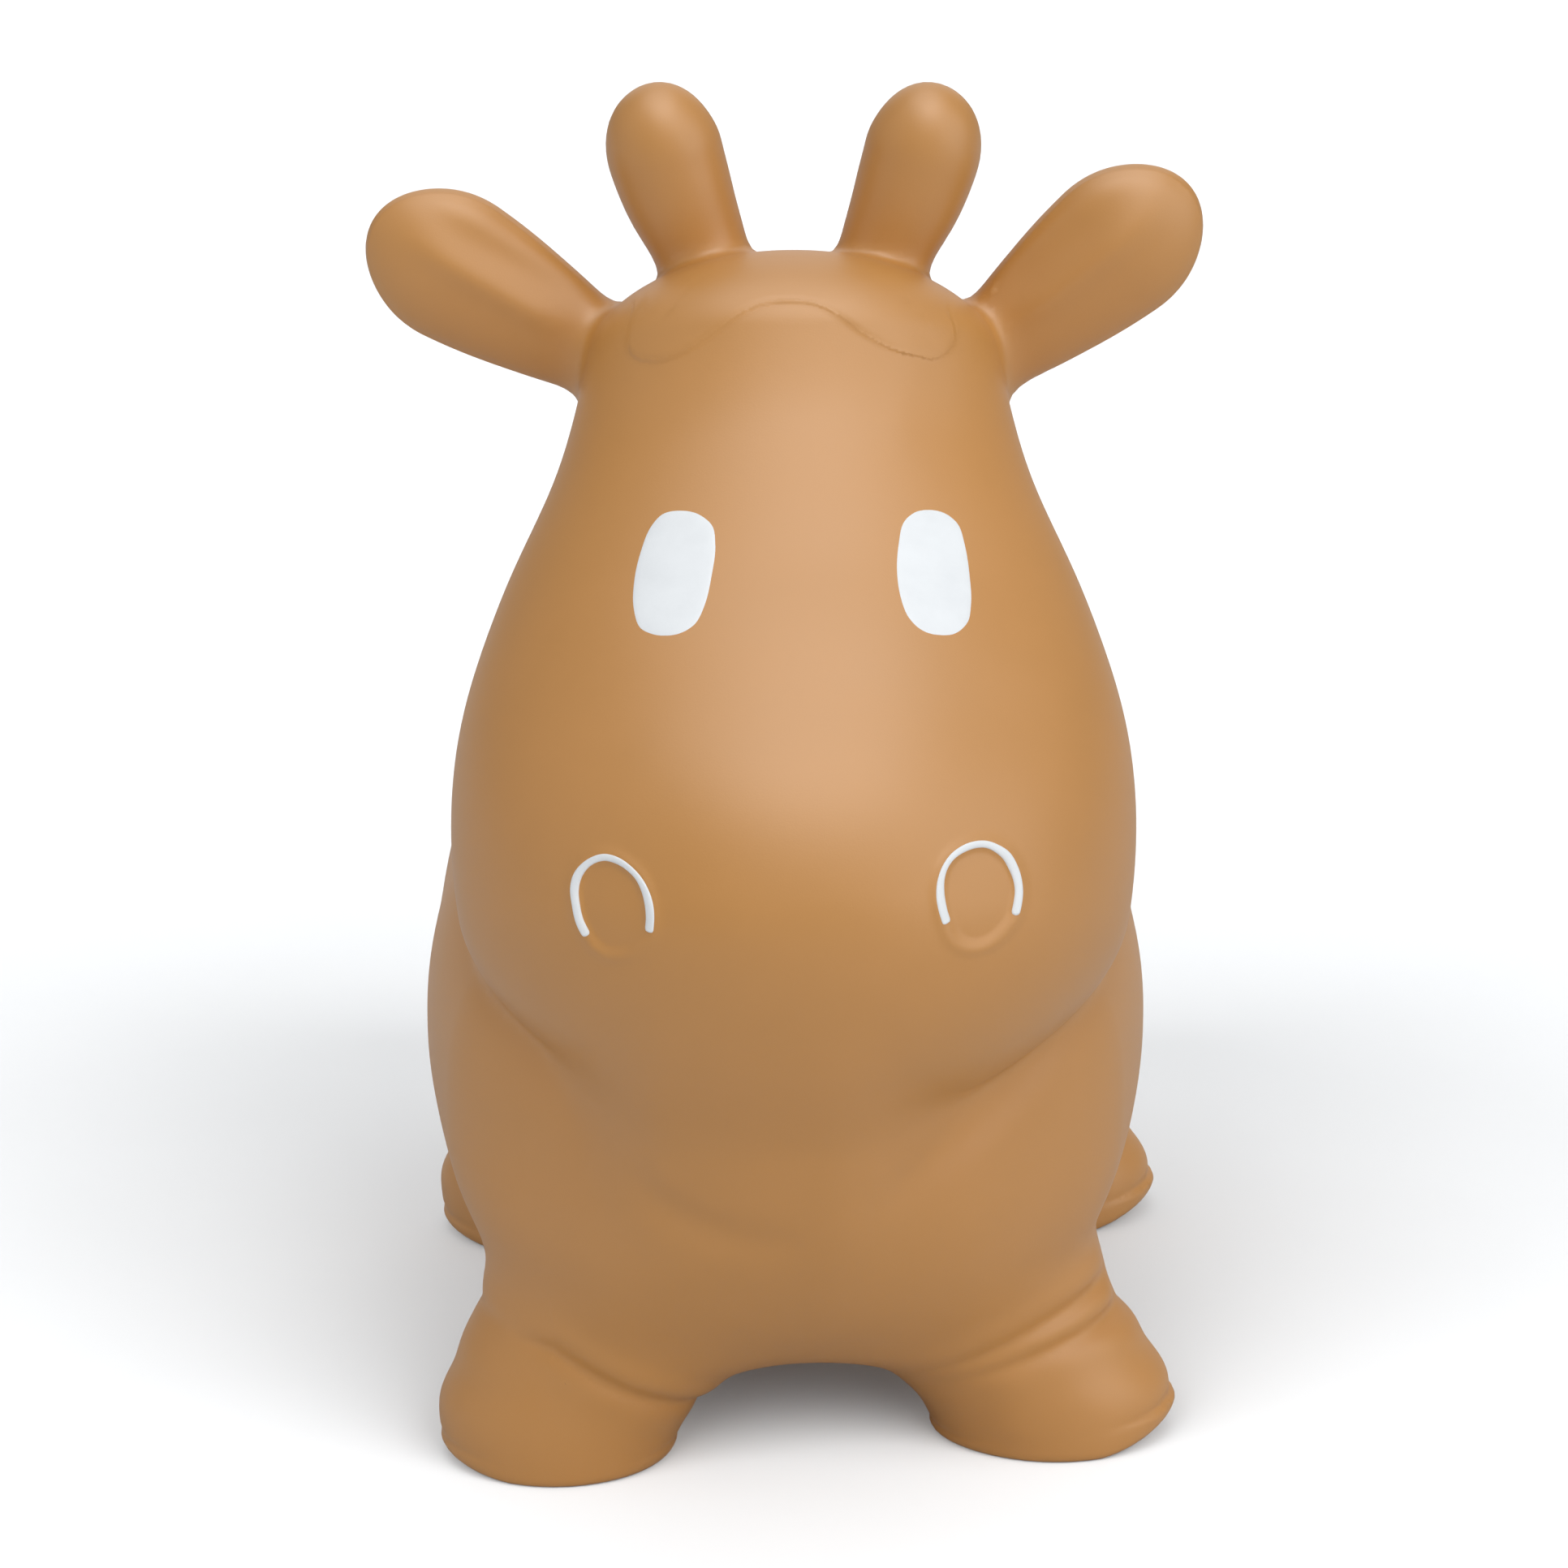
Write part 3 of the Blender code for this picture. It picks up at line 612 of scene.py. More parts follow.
def joined(a, b, width):
    """The nearer of two distances, with their crease melted over a width by a cubic."""
    share = np.maximum(width - np.abs(a - b), 0) / width
    return np.minimum(a, b) - share ** 3 * width / 6


def step(values, start, end):
    """0 before start, 1 after end, and a smooth cubic between them."""
    t = np.clip((values - start) / (end - start), 0, 1)
    return t * t * (3 - 2 * t)


trunk = trunk_form()
head = head_form()
ears = {side: ear_form(side) for side in (right, left)}
horns = {side: horn_form(side) for side in (right, left)}
legs = {(side, which): Leg(side, which) for side in (right, left) for which in ("fore", "hind")}


def fringe_view(points):
    """Places of points across and up the forehead, seen along the fringe's slope."""
    return np.stack([points[:, 0], points[:, 2] - points[:, 1] * fringe_slope], 1)


nostril_outlines = (curve_through(right_nostril_line + right_nostril_foot, outline_points, True),
                    curve_through(left_nostril_line + left_nostril_foot, outline_points, True))
fringe_edge_line = curve_through(fringe_places, fringe_points, False)
fringe_flat = fringe_view(fringe_edge_line)
fringe_outline = np.vstack([fringe_flat, [(fringe_flat[-1, 0], fringe_top), (fringe_flat[0, 0], fringe_top)]])
forehead_fold_line = curve_through(forehead_fold_places, forehead_points, False)
chin_folds = ((curve_through(right_chin_places, chin_points, False), right_chin_depth),
              (curve_through(left_chin_places, chin_points, False), left_chin_depth))


def neck_fillet(points):
    """Width of the crease between head and trunk: tight at the jaw, wide at the throat and the nape.

    On each side it widens from the first to the second distance out from the middle.
    """
    x = points[:, 0]
    jaw = np.where(x < 0, step(-x, *right_jaw_spread), step(x, *left_jaw_spread))
    front = throat_fillet + (jaw_fillet - throat_fillet) * jaw
    back = nape_fillet + (jaw_fillet - nape_fillet) * step(np.abs(x), *nape_spread)
    share = step(points[:, 1], *neck_front_to_back)
    return front * (1 - share) + back * share


def line_distance(points, line):
    """Distance of points to a polyline, and how far along it the nearest place is, as a share."""
    start, way = line[:-1], np.diff(line, axis=0)
    squares = (way ** 2).sum(1)
    share = np.clip(((points[:, None] - start) * way).sum(2) / squares, 0, 1)
    gap = points[:, None] - start - share[..., None] * way
    gap = (gap ** 2).sum(2)
    nearest = gap.argmin(1)
    rows = np.arange(len(points))
    run = np.concatenate([[0], np.cumsum(np.sqrt(squares))])
    along = (run[nearest] + share[rows, nearest] * np.sqrt(squares[nearest])) / run[-1]
    return np.sqrt(gap[rows, nearest]), along


def within(points, outline):
    """Whether points lie in a closed outline, by how many of its edges a ray to one side crosses."""
    x, y = points[:, 0, None], points[:, 1, None]
    ends = np.roll(outline, -1, axis=0)
    over = (outline[:, 1] > y) != (ends[:, 1] > y)
    rise = np.where(ends[:, 1] == outline[:, 1], 1, ends[:, 1] - outline[:, 1])
    place = outline[:, 0] + (y - outline[:, 1]) / rise * (ends[:, 0] - outline[:, 0])
    return (over & (x < place)).sum(1) % 2 == 1


def hump(distance, width):
    """1 at no distance, falling smoothly as a bell of that width."""
    return np.exp(-(distance / width) ** 2)


def fringe_relief(points):
    """A flap of hair over the forehead: raised behind its wavy edge, fading to the poll and its ends."""
    distance, along = line_distance(points, fringe_edge_line)
    signed = np.where(within(fringe_view(points), fringe_outline), distance, -distance)
    ends = step(along, 0, fringe_end) * (1 - step(along, 1 - fringe_end, 1))
    back = 1 - step(signed, *fringe_fade)
    return fringe_height * step(signed, -fringe_edge, fringe_edge) * back * ends


def forehead_relief(points):
    """A short soft fold that runs down from the fringe."""
    distance, along = line_distance(points, forehead_fold_line)
    return forehead_fold * hump(distance, forehead_fold_width) * (1 - along ** 2)


def nostril_relief(points, outline):
    """An oval sunk a little inside a low ridge."""
    flat = points[:, [0, 2]]
    distance, _ = line_distance(flat, outline)
    inside = within(flat, outline[:-1])
    signed = np.where(inside, -distance, distance)
    return (nostril_ridge * hump(signed - nostril_soft / 2, nostril_soft)
            - nostril_sink * (1 - step(signed, -nostril_bevel, 0)))


def chin_relief(points):
    """Soft folds under the chin, where the throat meets the chest."""
    total = 0
    for line, depth in chin_folds:
        distance, along = line_distance(points, line)
        ends = np.sin(np.pi * np.clip(along, chin_fold_end, 1 - chin_fold_end)) ** chin_fold_fullness
        total = total - depth * hump(distance, chin_fold_width) * ends
    return total


def round_foot(points, side, which):
    """How far out of a foot's middle points are, how far from it at all, and their direction from it."""
    x, y, _ = foot_place(side, which)
    out = side * (points[:, 0] - x)
    ahead = y - points[:, 1]
    return out, np.maximum(np.hypot(out, ahead), least_reach), np.arctan2(ahead, out)


def ankle_relief(points, side, which):
    """Soft folds over a hoof, each a hollow between two rolls, and the turn down the front of the hoof."""
    out, reach, turned = round_foot(points, side, which)
    total = 0
    for height, inner_rise, outer_rise, depth, facing in ankle_folds[side]:
        rise = np.where(out < 0, inner_rise, outer_rise)
        off = (points[:, 2] - height - out * rise) / np.sqrt(1 + rise * rise)
        share = step(np.cos(turned - facing) * ankle_fold_growth - ankle_fold_cut, 0, 1)
        fold = ankle_upper_roll * hump(off - ankle_upper_roll_rise, ankle_roll_width)
        fold = fold - ankle_groove * hump(off, ankle_groove_width)
        fold = fold + ankle_lower_roll * hump(off + ankle_lower_roll_fall, ankle_roll_width)
        total = total + depth * fold * share
    facing, plain = toe_turn[side]
    low = step(points[:, 2], *toe_ridge_start) * (1 - step(points[:, 2], *toe_ridge_end))
    total = total + plain * toe_ridge * low * hump(turned - facing, toe_ridge_width)
    return total * (1 - step(reach, *ankle_fade))


def sole_relief(points, side, which):
    """The notch between hoof and sole, and the lip that flares under it, mostly on the outer side."""
    out, reach, _ = round_foot(points, side, which)
    height, rise, flare = sole_notch[side]
    share = np.clip(out / reach, 0, 1) ** 3 + sole_inner_share * np.clip(-out / reach, 0, 1) ** 4
    off = points[:, 2] - height - rise * out / foot_half_width
    return share * (flare * (1 - step(off, *sole_lip_edge)) - sole_groove * hump(off, sole_groove_width))


def ear_relief(points, side):
    """A soft ridge along the paddle's front, a flatter plane over it, and the mould's line round its edge."""
    root, way, hinge = ear_frame(side)
    offset = points - root
    along = offset @ way
    across = offset @ hinge
    in_front = 1 - step(offset[:, 1], *ear_front)
    tip = 1 - step(along, *ear_marks_end)
    ridge = ear_ridge * hump(across - ear_ridge_line, ear_ridge_width)
    plane = ear_plane * hump(across - ear_plane_line, ear_ridge_width)
    seam = ear_seam * hump(offset[:, 1] - ear_seam_line, ear_seam_width)
    return step(along, *ear_marks_start) * (in_front * tip * (ridge - plane) + seam)


def relief(points):
    """How far the skin stands out over the plain forms, worked out only near each mark."""
    total = np.zeros(len(points), np.float32)

    def add(box, of, *more):
        low, high = np.array(box, np.float32)
        where = ((points > low) & (points < high)).all(axis=1)
        if where.any():
            total[where] += of(points[where].astype(np.float64), *more)

    add(fringe_box, fringe_relief)
    add(forehead_box, forehead_relief)
    add(chin_box, chin_relief)
    for outline in nostril_outlines:
        low, high = outline.min(axis=0) - nostril_margin, outline.max(axis=0) + nostril_margin
        add(((low[0], -endless, low[1]), (high[0], muzzle_line, high[1])), nostril_relief, outline)
    for side, which in legs:
        x, y, _ = foot_place(side, which)
        corner = (x - foot_margin, y - foot_margin, -endless)
        for top, of in ((ankle_top, ankle_relief), (sole_top, sole_relief)):
            add((corner, (x + foot_margin, y + foot_margin, top)), of, side, which)
    for side in (right, left):
        add(ear_boxes[side], ear_relief, side)
    return total


def skin(points):
    """Distance of any number of points outside the moulding, worked out in batches side by side."""
    batches = np.array_split(points.astype(np.float32), len(points) // batch + 1)
    with ThreadPoolExecutor() as pool:
        return np.concatenate(list(pool.map(skin_near, batches)))


def skin_near(points):
    """Distance outside the whole moulding: the forms melted together, less the relief on them."""
    whole = joined(trunk.measure(points), head.measure(points), neck_fillet(points))
    # wide over the arch between the feet, and tight outside them
    outside = step(np.abs(points[:, 0]), *arch_spread)
    width = arch_fillet + (shoulder_fillet - arch_fillet) * outside
    for forms, fillet in ((legs, width), (ears, ear_fillet), (horns, horn_fillet)):
        for form in forms.values():
            whole = joined(whole, form.measure(points), fillet)
    whole = whole - relief(points)
    # the floor side of the soles, rolled up at its outer edge and met with a round one
    under = -points[:, 2]
    for side, which in legs:
        out, _, _ = round_foot(points, side, which)
        near = np.clip((out - sole_lift_start) / (foot_half_width - sole_lift_start), 0, sole_lift_end)
        near = near * (np.abs(points[:, 1] - foot_place(side, which)[1]) < beside_foot)
        under = under + sole_lift[side] * near ** sole_lift_power
    return -joined(-whole, -under, sole_edge_round)


corners = np.array([(1, 1, 1), (1, -1, -1), (-1, 1, -1), (-1, -1, 1)], float)


def slope_of(field, points):
    """Value and gradient of a field, from four corners of a small tetrahedron round each point."""
    values = [field(points + corner * probe) for corner in corners]
    slope = sum(value[:, None] * corner for value, corner in zip(values, corners)) / (4 * probe)
    return sum(values) / 4, slope


def skin_normals(points):
    """Which way the skin faces at points."""
    return unit(slope_of(skin, points)[1])


def settled(points, rounds=settle_rounds):
    """Points moved along the skin's gradient until they lie on it."""
    for _ in range(rounds):
        value, slope = slope_of(skin, points)
        points = points - slope * (value / np.maximum((slope ** 2).sum(1), least_slope))[:, None]
    return points


def windows(shape):
    """Parts of a lattice of nodes that hold each of the eight corners of a shape of cells."""
    return [tuple(slice(n, n + size) for n, size in zip(start, shape)) for start in np.ndindex(2, 2, 2)]


def nets(low, high):
    """Quads over the surface where the skin's distance is zero, one point in each cell it crosses.

    Distances are worked out on a coarse lattice first, then only near the surface on the fine one.
    Each lattice edge whose ends lie on opposite sides becomes the quad of its four cells.
    """
    wide = cell * block
    shape = np.ceil((high - low) / wide).astype(int)
    lattice = np.stack(np.meshgrid(*[np.arange(n + 1) for n in shape], indexing="ij"), -1)
    rough = np.abs(skin((low + lattice * wide).reshape(-1, 3))).reshape(shape + 1)
    near = np.zeros(shape, bool)
    for window in windows(shape):
        near |= rough[window] < near_blocks * wide
    fine = near.repeat(block, 0).repeat(block, 1).repeat(block, 2)
    nodes = np.zeros(np.array(fine.shape) + 1, bool)
    for window in windows(fine.shape):
        nodes[window] |= fine
    where = np.argwhere(nodes)
    values = np.full(nodes.shape, np.nan, np.float32)
    values[nodes] = skin(low + where * cell)
    strides = np.array([fine.shape[1] * fine.shape[2], fine.shape[2], 1])
    quads = []
    for axis in range(3):
        a = np.take(values, range(0, nodes.shape[axis] - 1), axis)
        b = np.take(values, range(1, nodes.shape[axis]), axis)
        with np.errstate(invalid="ignore"):
            cross = np.argwhere((a < 0) != (b < 0))
        start = a[tuple(cross.T)]
        good = ~np.isnan(start) & ~np.isnan(b[tuple(cross.T)])
        cross, start = cross[good], start[good]
        u, v = [n for n in range(3) if n != axis]
        index = cross @ strides
        ring = np.stack([index - strides[u] - strides[v], index - strides[v], index, index - strides[u]],
                        axis=1)
        flip = (start < 0) ^ (axis == 1)
        ring[~flip] = ring[~flip][:, ::-1]
        quads.append(ring)
    quads = np.concatenate(quads)
    used, quads = np.unique(quads, return_inverse=True)
    quads = quads.reshape(-1, 4)
    place = np.stack([used // strides[0], used // strides[1] % fine.shape[1], used % strides[1]], 1)
    return low + (place + 0.5) * cell, quads


def evened(points, quads):
    """Points moved to the mean of their neighbours along the quads' edges, and settled again."""
    ends = np.concatenate([quads[:, [i, (i + 1) % 4]] for i in range(4)])
    count = np.bincount(ends[:, 0], minlength=len(points))[:, None]
    for _ in range(relax_rounds):
        total = [np.bincount(ends[:, 0], points[ends[:, 1], n], len(points)) for n in range(3)]
        points = settled(points / 2 + np.stack(total, 1) / count / 2, 1)
    return points


def split(points, quads, chosen):
    """Chosen quads parted in four, their neighbours' edges parted to match.

    Returns points, quads, and the neighbours as rows of up to eight corners, with -1 where there is none.
    """
    ends = np.sort(np.stack([quads, np.roll(quads, -1, 1)], 2).reshape(-1, 2), 1)
    edges, edge_of = np.unique(ends[:, 0] * len(points) + ends[:, 1], return_inverse=True)
    edge_of = edge_of.reshape(-1, 4)
    parted = np.zeros(len(edges), bool)
    parted[edge_of[chosen]] = True
    number = np.where(parted, len(points) + np.cumsum(parted) - 1, -1)
    middles = (points[edges[parted] // len(points)] + points[edges[parted] % len(points)]) / 2
    centres = points[quads[chosen]].mean(axis=1)
    points = np.vstack([points, middles, centres])
    centre = len(points) - len(centres) + np.arange(len(centres))
    middle = number[edge_of]
    small = [np.stack([quads[chosen, i], middle[chosen, i], centre, middle[chosen, i - 1]], 1)
             for i in range(4)]
    touched = ~chosen & (middle >= 0).any(axis=1)
    rows = np.stack([quads[touched], middle[touched]], 2).reshape(-1, 8)
    return points, np.concatenate([quads[~chosen & ~touched]] + small), rows


def padded(quads):
    """Quads as rows of up to eight corners, with -1 where there is none."""
    return np.pad(quads, ((0, 0), (0, most_corners - 4)), constant_values=-1)


def middles_of(points, faces):
    """Mean of each face's corners, for rows padded with -1."""
    there = faces >= 0
    return (points[faces] * there[..., None]).sum(1) / there.sum(1)[:, None]


def bounce_line(side, which):
    """Where the skin over a foot starts to follow it, and where it follows it fully.

    The start plane rises outward from the belly's middle line at the lean.
    """
    x, y, _ = foot_place(side, which)
    fall = np.array([side * math.sin(ankle_lean), 0, -math.cos(ankle_lean)])
    start = np.array([x, y, ankle_line + abs(x) * math.tan(ankle_lean)])
    return start, start + fall * ankle_fold * math.cos(ankle_lean)


def limb_line(side, limb):
    """Where an ear or a horn is parted from the head, and where it follows its own bend fully."""
    if limb == "ear":
        root, way, _ = ear_frame(side)
        start = root + way * (ear_bend_out + limb_cut)
    else:
        way = np.array([0, 0, 1.0])
        start = np.array([side * horn_bend_out, horn_line, horn_bend_height + limb_cut])
    return start, start + way * limb_bend


def cuts():
    """Each parting of the skin: the piece past it, a distance past it, and where it may run."""
    yield "head_skin", lambda p: trunk.measure(p) - head.measure(p), lambda p: p[:, 2] > belly
    for side, name in side_names.items():
        start, end = limb_line(side, "ear")
        way = (end - start) / limb_bend
        yield (name + "_ear", lambda p: (p - start) @ way,
               lambda p: np.linalg.norm(np.cross(p - start, way), axis=1) < beside_ear)
        start, end = limb_line(side, "horn")
        yield (name + "_horn", lambda p: p[:, 2] - start[2],
               lambda p: (side * p[:, 0] > 0) & (side * p[:, 0] < beside_horn))
        for which in ("fore", "hind"):
            x, y, _ = foot_place(side, which)
            start, end = bounce_line(side, which)
            fall = (end - start) / np.linalg.norm(end - start)
            lean = side * (hoof_outer_height - hoof_inner_height) / (2 * foot_half_width)
            middle = (hoof_inner_height + hoof_outer_height) / 2

            def beside(p):
                return (np.abs(p[:, 0] - x) < beside_foot) & (np.abs(p[:, 1] - y) < beside_foot)

            yield f"{name}_{which}_ankle", lambda p: (p - start) @ fall, beside
            yield f"{name}_{which}_hoof", lambda p: middle + (p[:, 0] - x) * lean - p[:, 2], beside
            yield f"{name}_{which}_sole", lambda p: sole_cut - p[:, 2], beside
    yield ("valve_hole", lambda p: valve_hole - np.hypot(p[:, 0], p[:, 1] - valve_line),
           lambda p: p[:, 2] < 2 * belly)


def detailed(centres, level):
    """Which quads are parted once more, so that the relief on them is finely enough shown."""
    x, y, z = centres.T
    chosen = (np.hypot(x, y - valve_line) < valve_hole + fine_valve[level]) & (z < 2 * belly)

    def add(near, places, line, width):
        distance = np.full(len(centres), far_off)
        distance[near] = line_distance(places[near], line)[0]
        chosen[distance < width] = True

    flat = centres[:, [0, 2]]
    for outline in nostril_outlines:
        near = (np.abs(flat - outline.mean(axis=0)) < beside_nostril).all(axis=1) & (y < muzzle_line)
        add(near, flat, outline, fine_nostril[level])
    near = (y < fringe_box[1][1]) & (z > fine_ear_height) & (np.abs(x) < fringe_box[1][0])
    add(near, centres, fringe_edge_line, fine_fringe[level])
    if level == 1:
        chosen |= (np.abs(x) > fine_ear_out) & (z > fine_ear_height)
        for side, which in legs:
            foot_x, foot_y, _ = foot_place(side, which)
            beside = (np.abs(x - foot_x) < fine_foot) & (np.abs(y - foot_y) < fine_foot)
            chosen |= beside & (z < fine_foot_height)
    return chosen


def skin_pieces():
    """The whole moulding's skin as one net, and the piece that each face belongs to.

    A face belongs to the last cut whose far side its middle is on. The points between two pieces are
    moved along the skin onto the cut, so that both have the same smooth edge.
    """
    points, quads = nets(np.array(cad_box[0]) - 3 * cell, np.array(cad_box[1]) + 3 * cell)
    points = evened(points, quads)
    rows = np.zeros((0, most_corners), int)
    for level in (1, 2):
        points, quads, more = split(points, quads, detailed(points[quads].mean(axis=1), level))
        rows = np.concatenate([rows, more])
    points = settled(points)
    faces = np.concatenate([padded(quads), rows])
    centres = middles_of(points, faces)
    piece = np.zeros(len(faces), int)
    names = ["trunk_skin"]
    lowest = np.full(len(points), no_piece)
    highest = np.zeros(len(points), int)
    face_of = np.repeat(np.arange(len(faces)), most_corners)[(faces >= 0).ravel()]
    corner_of = faces[faces >= 0]
    for name, past, beside in cuts():
        piece[(past(centres) > 0) & beside(centres)] = len(names)
        names.append(name)
    np.minimum.at(lowest, corner_of, piece[face_of])
    np.maximum.at(highest, corner_of, piece[face_of])
    for number, (name, past, beside) in enumerate(cuts(), 1):
        edge = np.flatnonzero((highest == number) & (lowest < number))
        for _ in range(parting_rounds):
            here = points[edge]
            value, slope = slope_of(past, here)
            normal = skin_normals(here)
            slope -= normal * (slope * normal).sum(1)[:, None]
            move = -slope * (value / np.maximum((slope ** 2).sum(1), least_parting_slope))[:, None]
            points[edge] = settled(here + np.clip(move, -cell, cell), 1)
    return points, skin_normals(points), faces, piece, names


def placed(name, data):
    """A new object of some data, in the scene."""
    thing = bpy.data.objects.new(name, data)
    bpy.context.scene.collection.objects.link(thing)
    return thing


def new_piece(name, points, faces, corner_normals):
    """Object at the origin from points and from faces given as rows of corners, -1 where there is none."""
    there = faces >= 0
    mesh = bpy.data.meshes.new(name)
    mesh.vertices.add(len(points))
    mesh.vertices.foreach_set("co", points.astype(np.float32).ravel())
    count = there.sum(1)
    mesh.loops.add(int(count.sum()))
    mesh.loops.foreach_set("vertex_index", faces[there].astype(np.int32))
    mesh.polygons.add(len(faces))
    mesh.polygons.foreach_set("loop_start", (np.cumsum(count) - count).astype(np.int32))
    mesh.polygons.foreach_set("use_smooth", np.ones(len(faces), bool))
    mesh.update(calc_edges=True)
    mesh.validate()
    mesh.normals_split_custom_set(corner_normals[there].tolist())
    return placed(name, mesh)


def shell(name, points, normals, faces):
    """A piece of skin with its wall: the outer side, the inner side one wall in, and a rim between."""
    used, corner = np.unique(faces[faces >= 0], return_inverse=True)
    rows = np.full(faces.shape, -1)
    rows[faces >= 0] = corner
    points, normals = points[used], normals[used]
    there = rows >= 0
    # corners pushed together at the start of each row, so that the next corner is the next entry
    order = np.argsort(~there, axis=1, kind="stable")
    rows = np.take_along_axis(rows, order, 1)
    count = there.sum(1)
    spot = np.arange(most_corners)
    after = np.where(spot + 1 < count[:, None], np.roll(rows, -1, 1), rows[:, :1])
    ends = np.stack([rows, after], 2)[rows >= 0]
    key = ends[:, 0] * len(points) + ends[:, 1]
    back = ends[:, 1] * len(points) + ends[:, 0]
    rim = ends[~np.isin(key, back)]
    n = len(points)
    inner = np.where(rows >= 0, rows + n, -1)
    inner = np.take_along_axis(inner, np.argsort(np.where(rows >= 0, -spot, most_corners), axis=1), 1)
    band = padded(np.stack([rim[:, 1], rim[:, 0], rim[:, 0] + n, rim[:, 1] + n], 1))
    both = np.vstack([points, points - normals * wall])
    flat = unit(np.cross(both[band[:, 1]] - both[band[:, 0]], both[band[:, 2]] - both[band[:, 0]]))
    corner_normals = np.concatenate([normals[rows], -normals[np.maximum(inner - n, 0)],
                                     np.repeat(flat[:, None], most_corners, 1)])
    return new_piece(name, both, np.concatenate([rows, inner, band]), corner_normals)


def on_face(x, z):
    """Points of the face at places across and up it, found by stepping back from in front of it."""
    points = np.stack([x.ravel(), np.full(x.size, cad_box[0][1] - cell), z.ravel()], 1)
    for _ in range(facing_rounds):
        points[:, 1] += np.clip(skin(points), -cell, 4 * cell)
    return points.reshape(*x.shape, 3)


def film(name, x, z, lift):
    """Closed film of paint over the face, from a grid of places and how far each is lifted, 0 at the rim.

    Its outer side bulges from a rim sunk in the skin, its inner side lies under the skin, and the two share
    the rim. Grid rows that meet in one point, or come round to their start, are merged there.
    """
    middle = on_face(x, z)
    normals = skin_normals(middle.reshape(-1, 3)).reshape(middle.shape)
    outer = middle + normals * (paint_thickness * lift - paint_sunk * (1 - lift))[..., None]
    inner = middle - normals * paint_sunk
    n, m = x.shape
    number = np.arange(n * m).reshape(n, m)
    quads = np.stack([number[:-1, :-1], number[1:, :-1], number[1:, 1:], number[:-1, 1:]], -1)
    quads = quads.reshape(-1, 4)
    shape = bmesh.new()
    mesh = bpy.data.meshes.new(name)
    mesh.from_pydata(np.vstack([outer.reshape(-1, 3), inner.reshape(-1, 3)]).tolist(), [],
                     np.vstack([quads, quads[:, ::-1] + n * m]).tolist())
    shape.from_mesh(mesh)
    bmesh.ops.remove_doubles(shape, verts=shape.verts, dist=merging)
    bmesh.ops.recalc_face_normals(shape, faces=shape.faces)
    for face in shape.faces:
        face.smooth = True
    shape.to_mesh(mesh)
    shape.free()
    return placed(name, mesh)


def eye_paint(name, outline):
    """Flat oval of paint: rings of the outline drawn in towards its middle."""
    rim = curve_through(outline, eye_points, True)
    middle = rim[:-1].mean(axis=0)
    share = np.sin(np.linspace(0, math.pi / 2, eye_rings))[:, None, None]
    grid = middle + (rim - middle) * share
    lift = np.sqrt(np.clip(1 - share[..., 0] ** eye_flatness, 0, 1)) + 0 * grid[..., 0]
    return film(name, grid[..., 0], grid[..., 1], lift)


def nostril_paint(name, line, wave):
    """Brush stroke along a line: its half width swells and thins a little, and closes round at its ends."""
    middle = curve_through(line, stroke_points, False)
    along = unit(np.gradient(middle, axis=0))
    aside = np.stack([along[:, 1], -along[:, 0]], 1)
    run = run_along(middle)
    from_end = np.minimum(run, run[-1] - run)
    swell = 1 + sum(share * np.sin(run / run[-1] * turns + times * wave)
                    for share, turns, times in stroke_swells)
    half = nostril_stroke / 2 * swell
    half *= np.sqrt(np.clip(1 - np.clip(1 - from_end / (nostril_stroke / 2), 0, 1) ** 2, 0, 1))
    across = np.sin(np.linspace(-math.pi / 2, math.pi / 2, stroke_steps))
    grid = middle[:, None] + aside[:, None] * (half[:, None] * across)[..., None]
    closing = np.minimum(half / half.max() * 2, 1)[:, None]
    lift = np.sqrt(np.clip(1 - across ** stroke_flatness, 0, 1)) * closing
    return film(name, grid[..., 0], grid[..., 1], lift)


def knot(tree, kind, **values):
    """A node of a material, with its named inputs set or joined."""
    node = tree.nodes.new(kind)
    for name, value in values.items():
        entry = node.inputs[name.replace("_", " ")]
        if isinstance(value, bpy.types.NodeSocket):
            tree.links.new(value, entry)
        else:
            entry.default_value = value
    return node


# The mottling's noise runs from the first tone to the second and from less rough to rougher between these
tone_ends = (0.34, 0.66)
roughness_ends = (0.3, 0.7)


def finish_of(name, tones, mottle, grain, depth, roughness, gloss):
    """Moulded or painted finish: slow mottling between two tones, and a fine even grain.

    mottle and grain are how many times a metre the two patterns repeat, and depth is the grain's height.
    """
    material = bpy.data.materials.new(name)
    material.use_nodes = True
    tree = material.node_tree
    shader = tree.nodes["Principled BSDF"]
    place = knot(tree, "ShaderNodeTexCoord").outputs["Object"]
    slow = knot(tree, "ShaderNodeTexNoise", Vector=place, Scale=mottle, Detail=4.0, Roughness=0.55)
    fine = knot(tree, "ShaderNodeTexNoise", Vector=place, Scale=grain, Detail=2.0, Roughness=0.6)
    slow, fine = slow.outputs["Fac"], fine.outputs["Fac"]
    ramp = knot(tree, "ShaderNodeValToRGB", Fac=slow)
    for end, position, tone in zip(ramp.color_ramp.elements, tone_ends, tones):
        end.position = position
        end.color = (*tone, 1)
    tree.links.new(ramp.outputs["Color"], shader.inputs["Base Color"])
    rough = knot(tree, "ShaderNodeMapRange", Value=slow, From_Min=roughness_ends[0],
                 From_Max=roughness_ends[1], To_Min=roughness[0], To_Max=roughness[1])
    tree.links.new(rough.outputs["Result"], shader.inputs["Roughness"])
    bump = knot(tree, "ShaderNodeBump", Height=fine, Strength=1.0, Distance=depth)
    tree.links.new(bump.outputs["Normal"], shader.inputs["Normal"])
    shader.inputs["Specular IOR Level"].default_value = gloss
    return material


